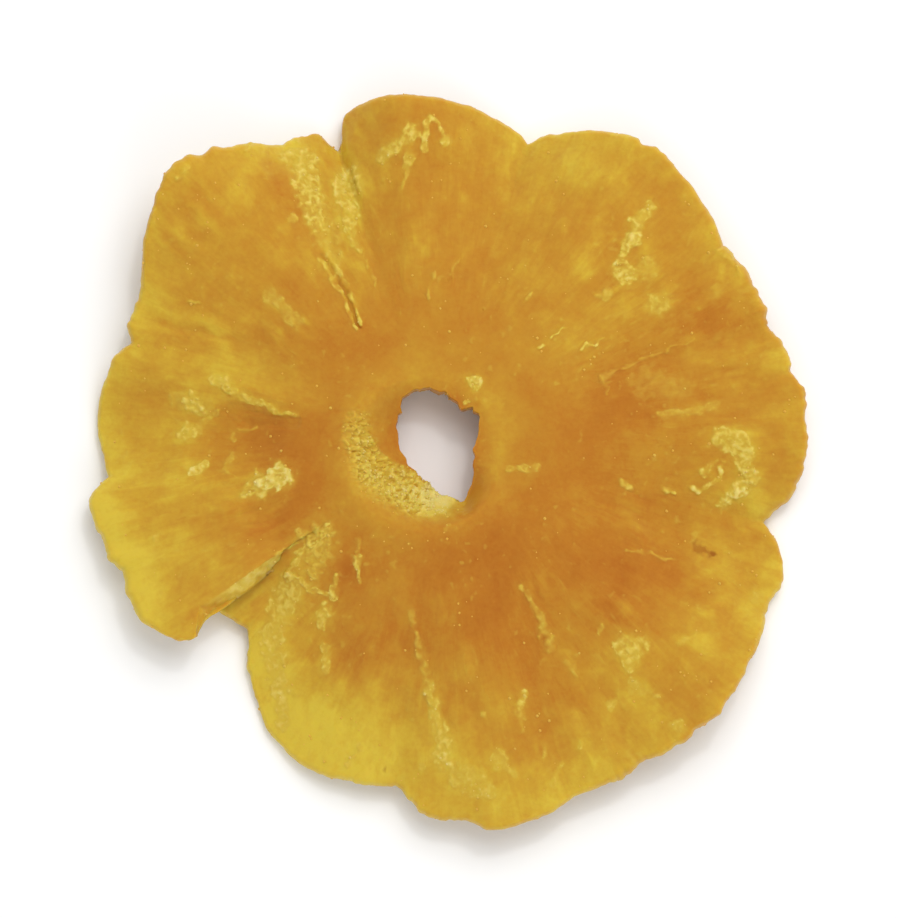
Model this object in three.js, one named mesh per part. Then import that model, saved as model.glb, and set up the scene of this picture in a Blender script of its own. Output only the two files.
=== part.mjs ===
// A dried pineapple ring: one cross slice of the fruit with its core cut out, dried until the flesh
// is leathery, the pale collar round the core stands proud and the thin scalloped rim has curled.
// Millimetres, +Z up. The ring lies on z = 0 with its better side up, centred on the origin in plan.
//
// Places on the ring are polar: a bearing in degrees anticlockwise from +X, and a radius from the
// middle of the core hole. The surface is a strip of radial columns that starts at one lip of the
// tear, goes once round and ends at the other lip.
import * as THREE from "three";

// ---- driving dimensions, mm and degrees ----
const HOLE_MIDDLE = { x: -1.27, y: 1.7 }; // where the core hole sits, so that the plan is centred

// The tear runs in from the rim along one bearing. Its flap side is raised, with a sloping torn
// face, and the other side is sunk and tucked under the flap. Sideways sizes are in degrees.
const TEAR_BEARING = 216;
const TEAR_START = 16; // radius where the tear begins; inside it the ring is whole
const TEAR_OVERLAP = { start: 19.5, full: 23 }; // radii where the flap comes to lie over its neighbour
const TEAR_GAP = 0.3; // how far each lip stands back from the tear's line
const TORN_FACE_SLOPE = 0.8; // how far the flap's top edge stands back
const FLAP_REACH = 2.6; // how far the flap's underside reaches past the line
const FLAP_THINNED = { by: 1, reach: 4 }; // the flap is thinner underneath, close to the tear
const FLAP_CORNER = { start: 30, end: 34, reach: 4 }; // the corner that ends the flap
const FLAP_LIFT = 1.9;
const FLAP_FADE = 26;
const TUCK_REACH = 3.2; // how far the lower lip reaches back under the flap
const TUCK_DROP = 1.7;
const TUCK_FADE = 14;
const SLUMP = { depth: 2, width: 2.2 }; // the lower lip also sinks where the flap only just covers it
const LIP_SPREAD = 15; // how far round the columns follow the lips

const CORE_THICKNESS = 6; // of the firm collar round the hole
const THINNING_EASE = 0.12; // how softly the collar starts to thin outwards
const RIM_THICKNESS = 2.4; // of the thin rim, just inside its rounded edge
const RIM_ROUND = 0.7; // width of the rounded edge
const LEAST_THICKNESS = 1.3;
const CORE_LEVEL = 4.3; // height of the collar's middle surface
const CORE_EDGE = 11; // radius where the collar ends and the flesh begins

// The hole through the core: a mean radius and waves of it, [waves round, size, bearing of a crest].
const HOLE_RADIUS = 4.92;
const HOLE_WAVES = [[1, 0.38, 68], [2, 0.85, 111], [3, 0.3, 45], [4, 0.48, 26]];
const HOLE_DENTS = [[56, 6, -0.5], [33, 5, 0.3], [294, 6, 0.65], [202, 9, -0.4]]; // bearing, reach, size
const HOLE_UNDERSIDE_FLARE = 0.7; // the hole is this much wider at the underside

// The collar's crest, and the funnel that slopes from it down into the hole. Both are widest on the
// side that FUNNEL_BEARING names.
const FUNNEL_BEARING = 225;
const CREST_RADIUS = 8.5;
const CREST_SHIFT = 2.0;
const CREST_HEIGHT = 0.7; // above the flesh round it
const CREST_WIDTH = 2.2;
const FUNNEL_DEPTH = 2.3;
const FUNNEL_LEAST = 0.1; // share of the crest and funnel on the side away from their bearing

// The scalloped rim. Each lobe was one eye of the fruit: [cleft bearing, cleft radius, crown bearing,
// crown radius, roundness]. A roundness under 1 makes a full lobe with sharp clefts. The last lobe is
// the flap, which falls to its corner at the tear.
const LOBES = [
  [225, 29.1, 251, 38.0, 0.9],
  [263, 37.5, 281, 42.6, 0.8],
  [291, 41.2, 298, 41.3, 1],
  [303.5, 40.9, 313, 42.5, 0.8],
  [332.5, 40.1, 338, 40.6, 1],
  [347, 36.9, 363.5, 40.6, 0.8],
  [380, 38.3, 388, 38.7, 1],
  [395, 38.0, 413, 40.3, 0.8],
  [433.5, 35.3, 458, 38.8, 0.8],
  [477, 37.5, 493.5, 41.2, 1.2],
  [514, 36.3, 516, 36.2, 1],
  [521.5, 35.3, 534, 37.6, 0.8],
  [545.5, 36.1, 550, 38.6, 0.8],
  [561.5, 36.5, 568, 37.1, 1],
];
const FLAP_END = { bearing: 576, radius: 33.8 };
const SLIT = { bearing: 468.5, depth: 3.9, width: 1.8 }; // a narrow cut into the rim, width in degrees

// How the flesh curls between the collar and the rim, by bearing: [bearing, belly, lip]. The belly is
// the height of the middle surface halfway out, and the lip is its height at the rim.
const BELLY_RADIUS = 26;
const CURL_START = 20;
const CURL_POWER = 1.5;
const CURL = [
  [216, 3.1, 3.2],
  [238, 2.3, 0.6],
  [258, 3.0, 2.6],
  [283, 4.3, 5.0],
  [297, 3.8, 4.6],
  [316, 3.9, 6.6],
  [343, 2.3, 0.6],
  [364, 3.2, 4.8],
  [382, 3.2, 4.0],
  [413, 4.9, 4.6],
  [434, 3.3, 0.7],
  [456, 4.0, 4.8],
  [469, 3.1, 0.7],
  [495, 4.2, 9.6],
  [520, 3.1, 4.4],
  [537, 2.3, 0.6],
  [552, 2.6, 3.0],
  [576, 3.1, 3.2],
];

// Thick and thin places and dents: [bearing, radius, reach along the radius, reach across it, height
// added to the top, height added to the underside].
const SWELLINGS = [
  [190, 17, 5, 5, 0.5, -0.2],
  [272, 21, 9, 8, 0.5, -0.2],
  [242, 32, 6, 8, -0.3, 0.3],
  [178, 19.5, 4, 3, -1.1, 0],
  [166, 20.5, 5, 2, 0.8, 0],
  [93, 35, 3, 4, 0.4, 0],
  [341, 28, 7, 2, -0.6, 0],
  [318, 24, 7, 6, 0.4, 0],
];

// Shallow creases that run in from each cleft, on top.
const CREASE_DEPTH = 0.25;
const CREASE_WIDTH = 1.7;
const CREASE_START = 20;

// ---- how finely the surface is divided ----
const COLUMNS = 120;
const OUTER_STEPS = 9; // from TEAR_START to the rim
const FUNNEL_STEPS = 3; // from the hole up to the collar's crest
const COLLAR_STEPS = 3; // from the crest to TEAR_START
const UNDER_STEPS = 3; // from TEAR_START to the hole, underneath

// ---- small helpers ----
const TOP = 0;
const UNDERSIDE = 1;
const cosDegrees = (angle) => Math.cos(THREE.MathUtils.degToRad(angle));
const bell = (distance, reach) => Math.exp(-((distance / reach) ** 2));
const rise = THREE.MathUtils.smoothstep;
const mix = THREE.MathUtils.lerp;

// The shortest way round from one bearing to another, in degrees.
function turn(bearing, from) {
  return THREE.MathUtils.euclideanModulo(bearing - from + 180, 360) - 180;
}

// ---- outlines in plan ----
function holeRadius(bearing) {
  const waved = HOLE_WAVES.reduce(
    (radius, [waves, size, crest]) => radius + size * cosDegrees(waves * (bearing - crest)),
    HOLE_RADIUS,
  );
  return HOLE_DENTS.reduce(
    (radius, [at, reach, size]) => radius + size * bell(turn(bearing, at), reach),
    waved,
  );
}

const RIM_KNOTS = LOBES.flatMap(([cleft, low, crown, high, roundness]) => [
  { bearing: cleft, radius: low, roundness },
  { bearing: crown, radius: high, roundness },
]);
RIM_KNOTS.push({ ...FLAP_END, roundness: 0.5 });

function rimRadius(bearing) {
  const next = RIM_KNOTS.findIndex((knot) => knot.bearing >= bearing);
  if (next === 0) return RIM_KNOTS[0].radius;
  const from = RIM_KNOTS[next - 1];
  const to = RIM_KNOTS[next];
  const along = (bearing - from.bearing) / (to.bearing - from.bearing);
  const [low, high] = from.radius < to.radius ? [from, to] : [to, from];
  const fromCleft = Math.sin((Math.PI / 2) * (low === from ? along : 1 - along));
  const lobed = mix(low.radius, high.radius, fromCleft ** high.roundness);
  return lobed - SLIT.depth * bell(bearing - SLIT.bearing, SLIT.width);
}

// ---- heights ----
function curlAt(bearing) {
  const next = Math.max(1, CURL.findIndex(([knot]) => knot >= bearing));
  const [start, bellyBefore, lipBefore] = CURL[next - 1];
  const [end, bellyAfter, lipAfter] = CURL[next];
  const along = rise(bearing, start, end);
  return { belly: mix(bellyBefore, bellyAfter, along), lip: mix(lipBefore, lipAfter, along) };
}

// How far out a place is, from 0 at a starting radius to 1 at the rim.
function outward(bearing, radius, start) {
  return THREE.MathUtils.clamp((radius - start) / (rimRadius(bearing) - start), 0, 1);
}

// The middle surface: level under the collar, then over the belly to the lip, with the two sides of
// the tear pulled apart.
function middleHeight(bearing, radius) {
  const { belly, lip } = curlAt(bearing);
  const body = mix(CORE_LEVEL, belly, rise(radius, CORE_EDGE, BELLY_RADIUS));
  const curl = (lip - belly) * outward(bearing, radius, CURL_START) ** CURL_POWER;
  const flap = FLAP_LIFT * bell(FLAP_END.bearing - bearing, FLAP_FADE);
  const tuck = TUCK_DROP * bell(bearing - TEAR_BEARING, TUCK_FADE);
  return body + curl + (flap - tuck) * rise(radius, TEAR_START, TEAR_OVERLAP.full);
}

function thickness(bearing, radius) {
  const ease = THINNING_EASE;
  const steep = (share) => (share ** 2 + ease ** 2) ** 0.375 - ease ** 0.75;
  const thinned = steep(outward(bearing, radius, CORE_EDGE)) / steep(1);
  return mix(CORE_THICKNESS, RIM_THICKNESS, thinned);
}

// What the swellings add at one place, on top or underneath.
function swelling(bearing, radius, side) {
  let height = 0;
  for (const [at, middle, reachAlong, reachAcross, ...added] of SWELLINGS) {
    const across = radius * THREE.MathUtils.degToRad(turn(bearing, at));
    height += added[side] * bell(radius - middle, reachAlong) * bell(across, reachAcross);
  }
  return height;
}

function creaseDepth(bearing, radius) {
  let depth = 0;
  for (const [cleft] of LOBES.slice(1)) {
    const across = radius * THREE.MathUtils.degToRad(bearing - cleft);
    const deepest = CREASE_DEPTH * rise(radius, CREASE_START, rimRadius(cleft));
    depth += deepest * bell(across, CREASE_WIDTH);
  }
  return depth;
}

function crestRadius(bearing) {
  return CREST_RADIUS + CREST_SHIFT * cosDegrees(bearing - FUNNEL_BEARING);
}

// The collar's crest, less the funnel inside it, both full on one side of the hole only.
function collar(bearing, radius) {
  const crest = crestRadius(bearing);
  const ridge = CREST_HEIGHT * bell(radius - crest, CREST_WIDTH);
  const funnel = FUNNEL_DEPTH * (1 - rise(radius, holeRadius(bearing), crest));
  const side = rise(cosDegrees(bearing - FUNNEL_BEARING), -0.5, 0.5);
  return mix(FUNNEL_LEAST, 1, side) * (ridge - funnel);
}

// How far the lower lip sinks along the inner half of the tear.
function slump(bearing, radius) {
  const across = radius * THREE.MathUtils.degToRad(bearing - TEAR_BEARING);
  const fading = 1 - rise(radius, TEAR_OVERLAP.full, TEAR_OVERLAP.full + 5);
  return SLUMP.depth * rise(radius, TEAR_START, TEAR_START + 3) * fading * bell(across, SLUMP.width);
}

function undersideHeight(bearing, radius) {
  const height = middleHeight(bearing, radius) - thickness(bearing, radius) / 2;
  const across = radius * THREE.MathUtils.degToRad(FLAP_END.bearing - bearing);
  const opened = rise(radius, TEAR_START, TEAR_OVERLAP.full);
  const thinned = FLAP_THINNED.by * bell(across, FLAP_THINNED.reach) * opened;
  return Math.max(0, height + swelling(bearing, radius, UNDERSIDE) + thinned);
}

function topHeight(bearing, radius) {
  const height = middleHeight(bearing, radius) + thickness(bearing, radius) / 2;
  const swollen = height + swelling(bearing, radius, TOP) + collar(bearing, radius);
  const creased = swollen - creaseDepth(bearing, radius) - slump(bearing, radius);
  return Math.max(creased, undersideHeight(bearing, radius) + LEAST_THICKNESS);
}

// ---- the tear: how far the columns beside it are turned from their own bearings ----
function lipTurn(radius, fromStart, side) {
  const open = rise(radius, TEAR_START, TEAR_START + 3);
  const over = rise(radius, TEAR_OVERLAP.start, TEAR_OVERLAP.full);
  const lowerLip = open * mix(TEAR_GAP, -TUCK_REACH, over);
  const face = side === TOP ? -TORN_FACE_SLOPE : mix(-TEAR_GAP, FLAP_REACH, over);
  const corner = rise(radius, FLAP_CORNER.start, FLAP_CORNER.end);
  const flapLip = open * mix(face, FLAP_CORNER.reach, corner);
  const nearLower = Math.max(0, 1 - fromStart / LIP_SPREAD);
  const nearFlap = Math.max(0, 1 - (360 - fromStart) / LIP_SPREAD);
  return lowerLip * nearLower + flapLip * nearFlap;
}

// ---- one radial column: the loop of points round its cross section ----
// Points inside TEAR_START come last, so that the first and last columns can share them.
function columnPoints(column) {
  const fromStart = (360 * column) / COLUMNS;
  const bearing = TEAR_BEARING + fromStart;
  const rim = rimRadius(bearing);
  const hole = holeRadius(bearing);
  const place = (radius, height, side) => {
    const angle = THREE.MathUtils.degToRad(bearing + lipTurn(radius, fromStart, side));
    return [
      HOLE_MIDDLE.x + radius * Math.cos(angle),
      HOLE_MIDDLE.y + radius * Math.sin(angle),
      height,
    ];
  };
  const topPoint = (radius) => place(radius, topHeight(bearing, radius), TOP);
  const underPoint = (radius) => place(radius, undersideHeight(bearing, radius), UNDERSIDE);
  const outerRadius = (step) => mix(TEAR_START, rim - RIM_ROUND, step / OUTER_STEPS);
  const outer = [];
  const inner = [];
  for (let step = 1; step <= OUTER_STEPS; step += 1) outer.push(topPoint(outerRadius(step)));
  const edge = rim - RIM_ROUND;
  const edgeHeight = mix(undersideHeight(bearing, edge), topHeight(bearing, edge), 0.45);
  outer.push(place(rim, edgeHeight, UNDERSIDE));
  for (let step = OUTER_STEPS; step >= 1; step -= 1) outer.push(underPoint(outerRadius(step)));
  for (let step = 0; step <= UNDER_STEPS; step += 1) {
    inner.push(underPoint(mix(TEAR_START, hole + HOLE_UNDERSIDE_FLARE, step / UNDER_STEPS)));
  }
  for (let step = 0; step < FUNNEL_STEPS; step += 1) {
    inner.push(topPoint(mix(hole, crestRadius(bearing), step / FUNNEL_STEPS)));
  }
  for (let step = 0; step <= COLLAR_STEPS; step += 1) {
    inner.push(topPoint(mix(crestRadius(bearing), TEAR_START, step / COLLAR_STEPS)));
  }
  return { outer, inner };
}

// ---- the ring's one closed surface ----
function ringGeometry() {
  const positions = [];
  const triangles = [];
  const loops = [];
  const add = (point) => positions.push(...point) / 3 - 1;
  for (let column = 0; column <= COLUMNS; column += 1) {
    const { outer, inner } = columnPoints(column);
    const shared = column === COLUMNS ? loops[0].slice(outer.length) : inner.map(add);
    loops.push([...outer.map(add), ...shared]);
  }
  const quad = (a, b, c, d) => triangles.push(a, b, c, a, c, d);
  const points = loops[0].length;
  for (let column = 0; column < COLUMNS; column += 1) {
    const here = loops[column];
    const next = loops[column + 1];
    for (let point = 0; point < points; point += 1) {
      const after = (point + 1) % points;
      quad(here[point], here[after], next[after], next[point]);
    }
  }
  // The two torn faces: top and underside points of one column, joined from the tear's inner end
  // out to the rim.
  const rimPoint = OUTER_STEPS;
  const innerEnd = { top: points - 1, under: 2 * OUTER_STEPS + 1 };
  for (const [loop, flip] of [[loops[0], false], [loops[COLUMNS], true]]) {
    const face = (a, b, c) => triangles.push(...(flip ? [a, c, b] : [a, b, c]));
    let top = loop[innerEnd.top];
    let under = loop[innerEnd.under];
    for (let step = 0; step < OUTER_STEPS; step += 1) {
      const nextTop = loop[step];
      const nextUnder = loop[2 * OUTER_STEPS - step];
      face(top, under, nextUnder);
      face(top, nextUnder, nextTop);
      top = nextTop;
      under = nextUnder;
    }
    face(top, under, loop[rimPoint]);
  }
  const geometry = new THREE.BufferGeometry();
  geometry.setAttribute("position", new THREE.Float32BufferAttribute(positions, 3));
  geometry.setIndex(triangles);
  geometry.computeVertexNormals();
  return geometry;
}

const driedFlesh = new THREE.MeshStandardMaterial({ color: "#cc9533", roughness: 0.5, metalness: 0 });

const ring = new THREE.Mesh(ringGeometry(), driedFlesh);
ring.name = "pineapple_ring";

const driedPineapple = new THREE.Group();
driedPineapple.add(ring);

export default driedPineapple;
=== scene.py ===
# %% [markdown]
# # A dried pineapple ring
# A pineapple is peeled, cut across into rings, cored, and dried until the flesh is leathery. The eye knows
# it by four things: flesh that glows yellow where it is thin and orange where it is thick, a pale spongy
# collar round the core hole, dry crusts and fibres that run out like spokes, and a thin ragged rim.
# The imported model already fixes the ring's place and size. This script loads it and dresses it.

# %% Load the fixed frame
import itertools
import math
from types import SimpleNamespace

import bpy
import numpy as np
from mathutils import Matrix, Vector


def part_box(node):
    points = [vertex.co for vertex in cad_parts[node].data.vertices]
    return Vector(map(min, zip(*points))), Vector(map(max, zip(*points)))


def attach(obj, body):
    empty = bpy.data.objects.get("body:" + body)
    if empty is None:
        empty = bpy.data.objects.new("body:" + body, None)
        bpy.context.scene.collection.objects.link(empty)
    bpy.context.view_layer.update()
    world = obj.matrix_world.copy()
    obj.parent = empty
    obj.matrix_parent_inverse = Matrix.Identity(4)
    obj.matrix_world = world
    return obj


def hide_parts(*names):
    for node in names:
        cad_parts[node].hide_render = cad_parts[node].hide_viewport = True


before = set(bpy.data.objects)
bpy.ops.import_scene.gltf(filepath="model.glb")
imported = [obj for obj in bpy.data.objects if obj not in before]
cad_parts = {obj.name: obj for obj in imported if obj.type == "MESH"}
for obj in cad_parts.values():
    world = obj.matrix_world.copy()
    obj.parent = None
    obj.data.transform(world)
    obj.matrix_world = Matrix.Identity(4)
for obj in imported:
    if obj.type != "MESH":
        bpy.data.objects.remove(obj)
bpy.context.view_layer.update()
MM = 0.001  # the script works in millimetres, and Blender's meshes are in metres
TINY = 1e-9  # the least length that anything is divided by
ring_low, ring_high = (np.array(corner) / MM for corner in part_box("pineapple_ring"))
print("CAD ring, mm:", (ring_high - ring_low).round(2))

# %% [markdown]
# ## Numbers that bend and blend
# The ring is described by formulas of two numbers: a bearing round the core hole, in degrees anticlockwise
# from +X, and a radius from its middle. A few small functions blend such values. They take whole arrays,
# because a skin has hundreds of thousands of points and a loop over them would take minutes.


# %% Blending helpers
def bell(distance, reach):
    """A bump that is 1 at distance 0 and fades over the reach."""
    return np.exp(-((distance / reach) ** 2))


def rise(value, start, end):
    """0 before start, 1 after end, and a smooth step between them."""
    share = np.clip((value - start) / (end - start), 0, 1)
    return share * share * (3 - 2 * share)


def mix(first, second, share):
    """The first value at share 0, the second at share 1, and a blend in between."""
    return first + (second - first) * share


def turn(bearing, start):
    """The shortest way round from one bearing to another, in degrees."""
    return (bearing - start + 180) % 360 - 180


print("a bell at its reach:", round(float(bell(1, 1)), 2), "a rise a quarter of the way:", rise(0.25, 0, 1))

# %% [markdown]
# ## The outlines of the hole and the rim
# These sizes and formulas repeat the CAD ring's, so the dressed ring fills the same space. The hole is a
# circle with waves and dents, where the corer slipped. Each lobe of the rim was one eye of the fruit, with a
# sharp cleft on either side. Only the nicks in the hole's edge and some values at the tear are finer than
# the CAD ring's.

# %% The hole's outline, in millimetres and degrees
HOLE_MIDDLE = np.array([-1.27, 1.7])
HOLE_RADIUS = 4.92
HOLE_WAVES = [(1, 0.38, 68), (2, 0.85, 111), (3, 0.3, 45), (4, 0.48, 26)]  # waves all round, size, a crest
# Bearing, reach and size of each dent.
HOLE_DENTS = [(56, 6, -0.5), (33, 5, 0.3), (294, 6, 0.65), (202, 9, -0.4)]
HOLE_NICKS = [
    (138.5, 3, -0.45), (128, 3, 0.15), (108, 2, -0.15), (98, 1.5, 0.12), (81, 4, 0.35),
    (52, 3.5, -0.15), (44.5, 2, 0.3), (246, 6, 0.4), (156, 5, 0.2), (337, 8, 0.2),
]


def dented(bearing, dents):
    """How far dents push the outline out at a bearing."""
    return sum(size * bell(turn(bearing, at), reach) for at, reach, size in dents)


def hole_radius(bearing):
    """A circle with waves and dents, before it is nicked."""
    waves = sum(size * np.cos(np.radians(count * (bearing - crest))) for count, size, crest in HOLE_WAVES)
    return HOLE_RADIUS + waves + dented(bearing, HOLE_DENTS)


whole_turn = np.arange(360)
hole_width = hole_radius(whole_turn) + hole_radius(whole_turn + 180)
print("hole across, mm:", hole_width.min().round(1), "to", hole_width.max().round(1))

# %% The rim's outline
TEAR_BEARING = 216  # the rim's bearings start here and run on to 576, once round
# Each lobe: cleft bearing, cleft radius, crown bearing, crown radius, roundness.
LOBES = [
    (225, 29.1, 251, 38.0, 0.9),
    (263, 37.5, 281, 42.6, 0.8),
    (291, 41.2, 298, 41.3, 1),
    (303.5, 40.9, 313, 42.5, 0.8),
    (332.5, 40.1, 338, 40.6, 1),
    (347, 36.9, 363.5, 40.6, 0.8),
    (380, 38.3, 388, 38.7, 1),
    (395, 38.0, 413, 40.3, 0.8),
    (433.5, 35.3, 458, 38.8, 0.8),
    (477, 37.5, 493.5, 41.2, 1.2),
    (514, 36.3, 516, 36.2, 1),
    (521.5, 35.3, 534, 37.6, 0.8),
    (545.5, 36.1, 550, 38.6, 0.8),
    (561.5, 36.5, 568, 37.1, 0.6),
]
FLAP_END = (576, 34.5, 0.5)  # bearing, radius, roundness
SLIT_BEARING, SLIT_DEPTH, SLIT_WIDTH = 468.5, 3.9, 1.8
LIP_CORNER_REACH, LIP_CORNER_WIDTH = 1.3, 6  # the corner of the lower lip peeps out past the flap

rim_knots = [
    knot
    for cleft, low, crown, high, roundness in LOBES
    for knot in ((cleft, low, roundness), (crown, high, roundness))
]
knot_bearing, knot_radius, knot_roundness = np.array([*rim_knots, FLAP_END]).T


def rim_radius(bearing):
    """Full lobes with sharp clefts between them, and the narrow slit."""
    after = np.clip(np.searchsorted(knot_bearing, bearing), 1, len(knot_bearing) - 1)
    before = after - 1
    share = (bearing - knot_bearing[before]) / (knot_bearing[after] - knot_bearing[before])
    share = np.clip(share, 0, 1)
    rising = knot_radius[before] < knot_radius[after]
    cleft, crown = np.where(rising, before, after), np.where(rising, after, before)
    from_cleft = np.sin(np.pi / 2 * np.where(rising, share, 1 - share)) ** knot_roundness[crown]
    lobed = mix(knot_radius[cleft], knot_radius[crown], from_cleft)
    slit = SLIT_DEPTH * bell(bearing - SLIT_BEARING, SLIT_WIDTH)
    return lobed - slit + LIP_CORNER_REACH * bell(bearing - TEAR_BEARING, LIP_CORNER_WIDTH)


rim_all_round = rim_radius(TEAR_BEARING + whole_turn)
print("rim radius, mm:", rim_all_round.min().round(1), "to", rim_all_round.max().round(1))

# %% [markdown]
# ## Heights
# Drying flesh curls. A middle surface falls from the core to a belly, and from there each lobe's thin lip
# rises or dips. The flesh lies half above that surface and half below it. Swellings, creases and the raised
# collar are added, and an underside that would reach below the floor is eased flat, as if it rested there.

# %% The middle surface
CORE_LEVEL, CORE_EDGE = 4.3, 11
BELLY_RADIUS = 26
CURL_START, CURL_POWER = 20, 1.5
# Height of the middle surface: bearing, at the belly, at the lip.
CURL = [
    (216, 3.1, 3.2),
    (238, 2.3, 0.6),
    (258, 3.0, 2.6),
    (283, 4.3, 5.0),
    (297, 3.8, 4.6),
    (316, 3.9, 6.6),
    (343, 2.3, 0.6),
    (364, 3.2, 4.8),
    (382, 3.2, 4.0),
    (413, 4.9, 4.6),
    (434, 3.3, 0.7),
    (456, 4.0, 4.8),
    (469, 3.1, 0.7),
    (495, 4.2, 9.6),
    (520, 3.1, 4.4),
    (537, 2.3, 0.6),
    (552, 2.6, 3.0),
    (576, 3.1, 3.2),
]
FLAP_LIFT, FLAP_FADE = 1.9, 26
TUCK_DROP, TUCK_FADE = 1.35, 14
FLAP_RISE_START, FLAP_RISE_FULL = 19, 25

curl_bearing, curl_belly, curl_lip = np.array(CURL).T


def eased_between_knots(bearing, values):
    """A smooth passage from each bearing of the curl to the next."""
    after = np.clip(np.searchsorted(curl_bearing, bearing), 1, len(curl_bearing) - 1)
    share = rise(bearing, curl_bearing[after - 1], curl_bearing[after])
    return mix(values[after - 1], values[after], share)


def outward(bearing, radius, start):
    """How far out a place is, from 0 at a starting radius to 1 at the rim."""
    return np.clip((radius - start) / (rim_radius(bearing) - start), 0, 1)


def middle_height(bearing, radius):
    """The curled surface halfway through the flesh: the flap is lifted, and the lip under it tucked down."""
    belly, lip = eased_between_knots(bearing, curl_belly), eased_between_knots(bearing, curl_lip)
    body = mix(CORE_LEVEL, belly, rise(radius, CORE_EDGE, BELLY_RADIUS))
    curl = (lip - belly) * outward(bearing, radius, CURL_START) ** CURL_POWER
    flap = FLAP_LIFT * bell(FLAP_END[0] - bearing, FLAP_FADE)
    tuck = TUCK_DROP * bell(bearing - TEAR_BEARING, TUCK_FADE)
    return body + curl + (flap - tuck) * rise(radius, FLAP_RISE_START, FLAP_RISE_FULL)


print("flesh is centred, mm, at the belly:", curl_belly.min(), "to", curl_belly.max())
print("and at the lips:", curl_lip.min(), "to", curl_lip.max())

# %% The thickness
CORE_THICKNESS, RIM_THICKNESS = 6, 2.4
THINNING_POWER, THINNING_EASE = 0.75, 0.12


def thickness(bearing, radius):
    """Thins quickly at first and then slowly, with a soft start."""
    share, ease = outward(bearing, radius, CORE_EDGE), THINNING_EASE
    steep = (share**2 + ease**2) ** (THINNING_POWER / 2) - ease**THINNING_POWER
    steepest = (1 + ease**2) ** (THINNING_POWER / 2) - ease**THINNING_POWER
    return mix(CORE_THICKNESS, RIM_THICKNESS, steep / steepest)


CROWN_OF_A_LOBE = 313
way_out = np.arange(CORE_EDGE, rim_radius(CROWN_OF_A_LOBE), 6)
print("thickness from the collar out, mm:", thickness(CROWN_OF_A_LOBE, way_out).round(1))

# %% Swellings and creases
# Bearing, radius, reach along and across the radius, height added on top and underneath.
SWELLINGS = [
    (190, 17, 5, 5, 0.5, -0.2),
    (272, 21, 9, 8, 0.5, -0.2),
    (242, 32, 6, 8, -0.3, 0.3),
    (178, 19.5, 4, 3.5, -0.8, 0),
    (166, 20.5, 5, 2.2, 0.6, 0),
    (93, 35, 3, 4, 0.4, 0),
    (341, 28, 7, 2, -0.6, 0),
    (318, 24, 7, 6, 0.4, 0),
]
CREASE_DEPTH, CREASE_WIDTH, CREASE_START = 0.25, 1.7, 20
TEAR_START, TEAR_OPENS = 16, 3  # the radius where the flesh is torn, and the stretch over which it opens
TEAR_OVERLAP_START, TEAR_OVERLAP_FULL = 19.5, 23
SLUMP_DEPTH, SLUMP_WIDTH, SLUMP_FADE = 0.08, 2.2, 5


def swelling(bearing, radius, side):
    """The height that swellings add: side 0 is the top, 1 the underside."""
    height = 0
    for at, middle, along, across, *added in SWELLINGS:
        aside = radius * np.radians(turn(bearing, at))
        height = height + added[side] * bell(radius - middle, along) * bell(aside, across)
    return height


def crease_depth(bearing, radius):
    """A shallow crease runs inwards from each cleft of the rim."""
    depth = 0
    for cleft, cleft_radius, *_ in LOBES[1:]:
        aside = radius * np.radians(bearing - cleft)
        depth = depth + CREASE_DEPTH * rise(radius, CREASE_START, cleft_radius) * bell(aside, CREASE_WIDTH)
    return depth


def slump(bearing, radius):
    """The lower lip sinks beside the inner half of the tear, where it is still held by a web of fibres."""
    aside = radius * np.radians(bearing - TEAR_BEARING)
    free = rise(radius, TEAR_OVERLAP_FULL, TEAR_OVERLAP_FULL + SLUMP_FADE)
    held = rise(radius, TEAR_START, TEAR_START + TEAR_OPENS) * (1 - free)
    return SLUMP_DEPTH * held * bell(aside, SLUMP_WIDTH)


print("swellings:", len(SWELLINGS), "creases:", len(LOBES) - 1)

# %% The collar round the hole
FUNNEL_BEARING = 225
CREST_RADIUS, CREST_SHIFT, CREST_HEIGHT, CREST_WIDTH = 8.5, 2.0, 0.7, 2.2
FUNNEL_DEPTH, FUNNEL_LEAST = 2.3, 0.1
FUNNEL_FADES, FUNNEL_FULL = -0.5, 0.5  # cosines of the turn from the funnel's bearing


def crest_radius(bearing):
    """The collar's crest is a circle that is shifted towards the funnel."""
    return CREST_RADIUS + CREST_SHIFT * np.cos(np.radians(bearing - FUNNEL_BEARING))


def collar(bearing, radius):
    """The crest and the funnel inside it are full on one side of the hole and slight on the other."""
    side = np.cos(np.radians(bearing - FUNNEL_BEARING))
    fullness = mix(FUNNEL_LEAST, 1, rise(side, FUNNEL_FADES, FUNNEL_FULL))
    ridge = CREST_HEIGHT * bell(radius - crest_radius(bearing), CREST_WIDTH)
    funnel = FUNNEL_DEPTH * (1 - rise(radius, hole_radius(bearing), crest_radius(bearing)))
    return fullness * (ridge - funnel)


print("crest's radius at the funnel and opposite, mm:", crest_radius(FUNNEL_BEARING + np.array([0, 180])))

# %% The top and the underside
CONTACT_SOFTNESS = 0.12  # rounds the crease where the underside meets what it rests on
LEAST_THICKNESS = 1.3
FLAP_THINNED, FLAP_THINNING_REACH = 1.5, 4


def underside_height(bearing, radius):
    """The flesh from below: thinned under the flap, and eased flat where it meets the floor."""
    height = middle_height(bearing, radius) - thickness(bearing, radius) / 2 + swelling(bearing, radius, 1)
    aside = radius * np.radians(bearing - FLAP_END[0])
    torn = rise(radius, TEAR_START, TEAR_OVERLAP_FULL)
    height = height + FLAP_THINNED * bell(aside, FLAP_THINNING_REACH) * torn
    return (height + np.sqrt(height**2 + CONTACT_SOFTNESS**2)) / 2


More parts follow.
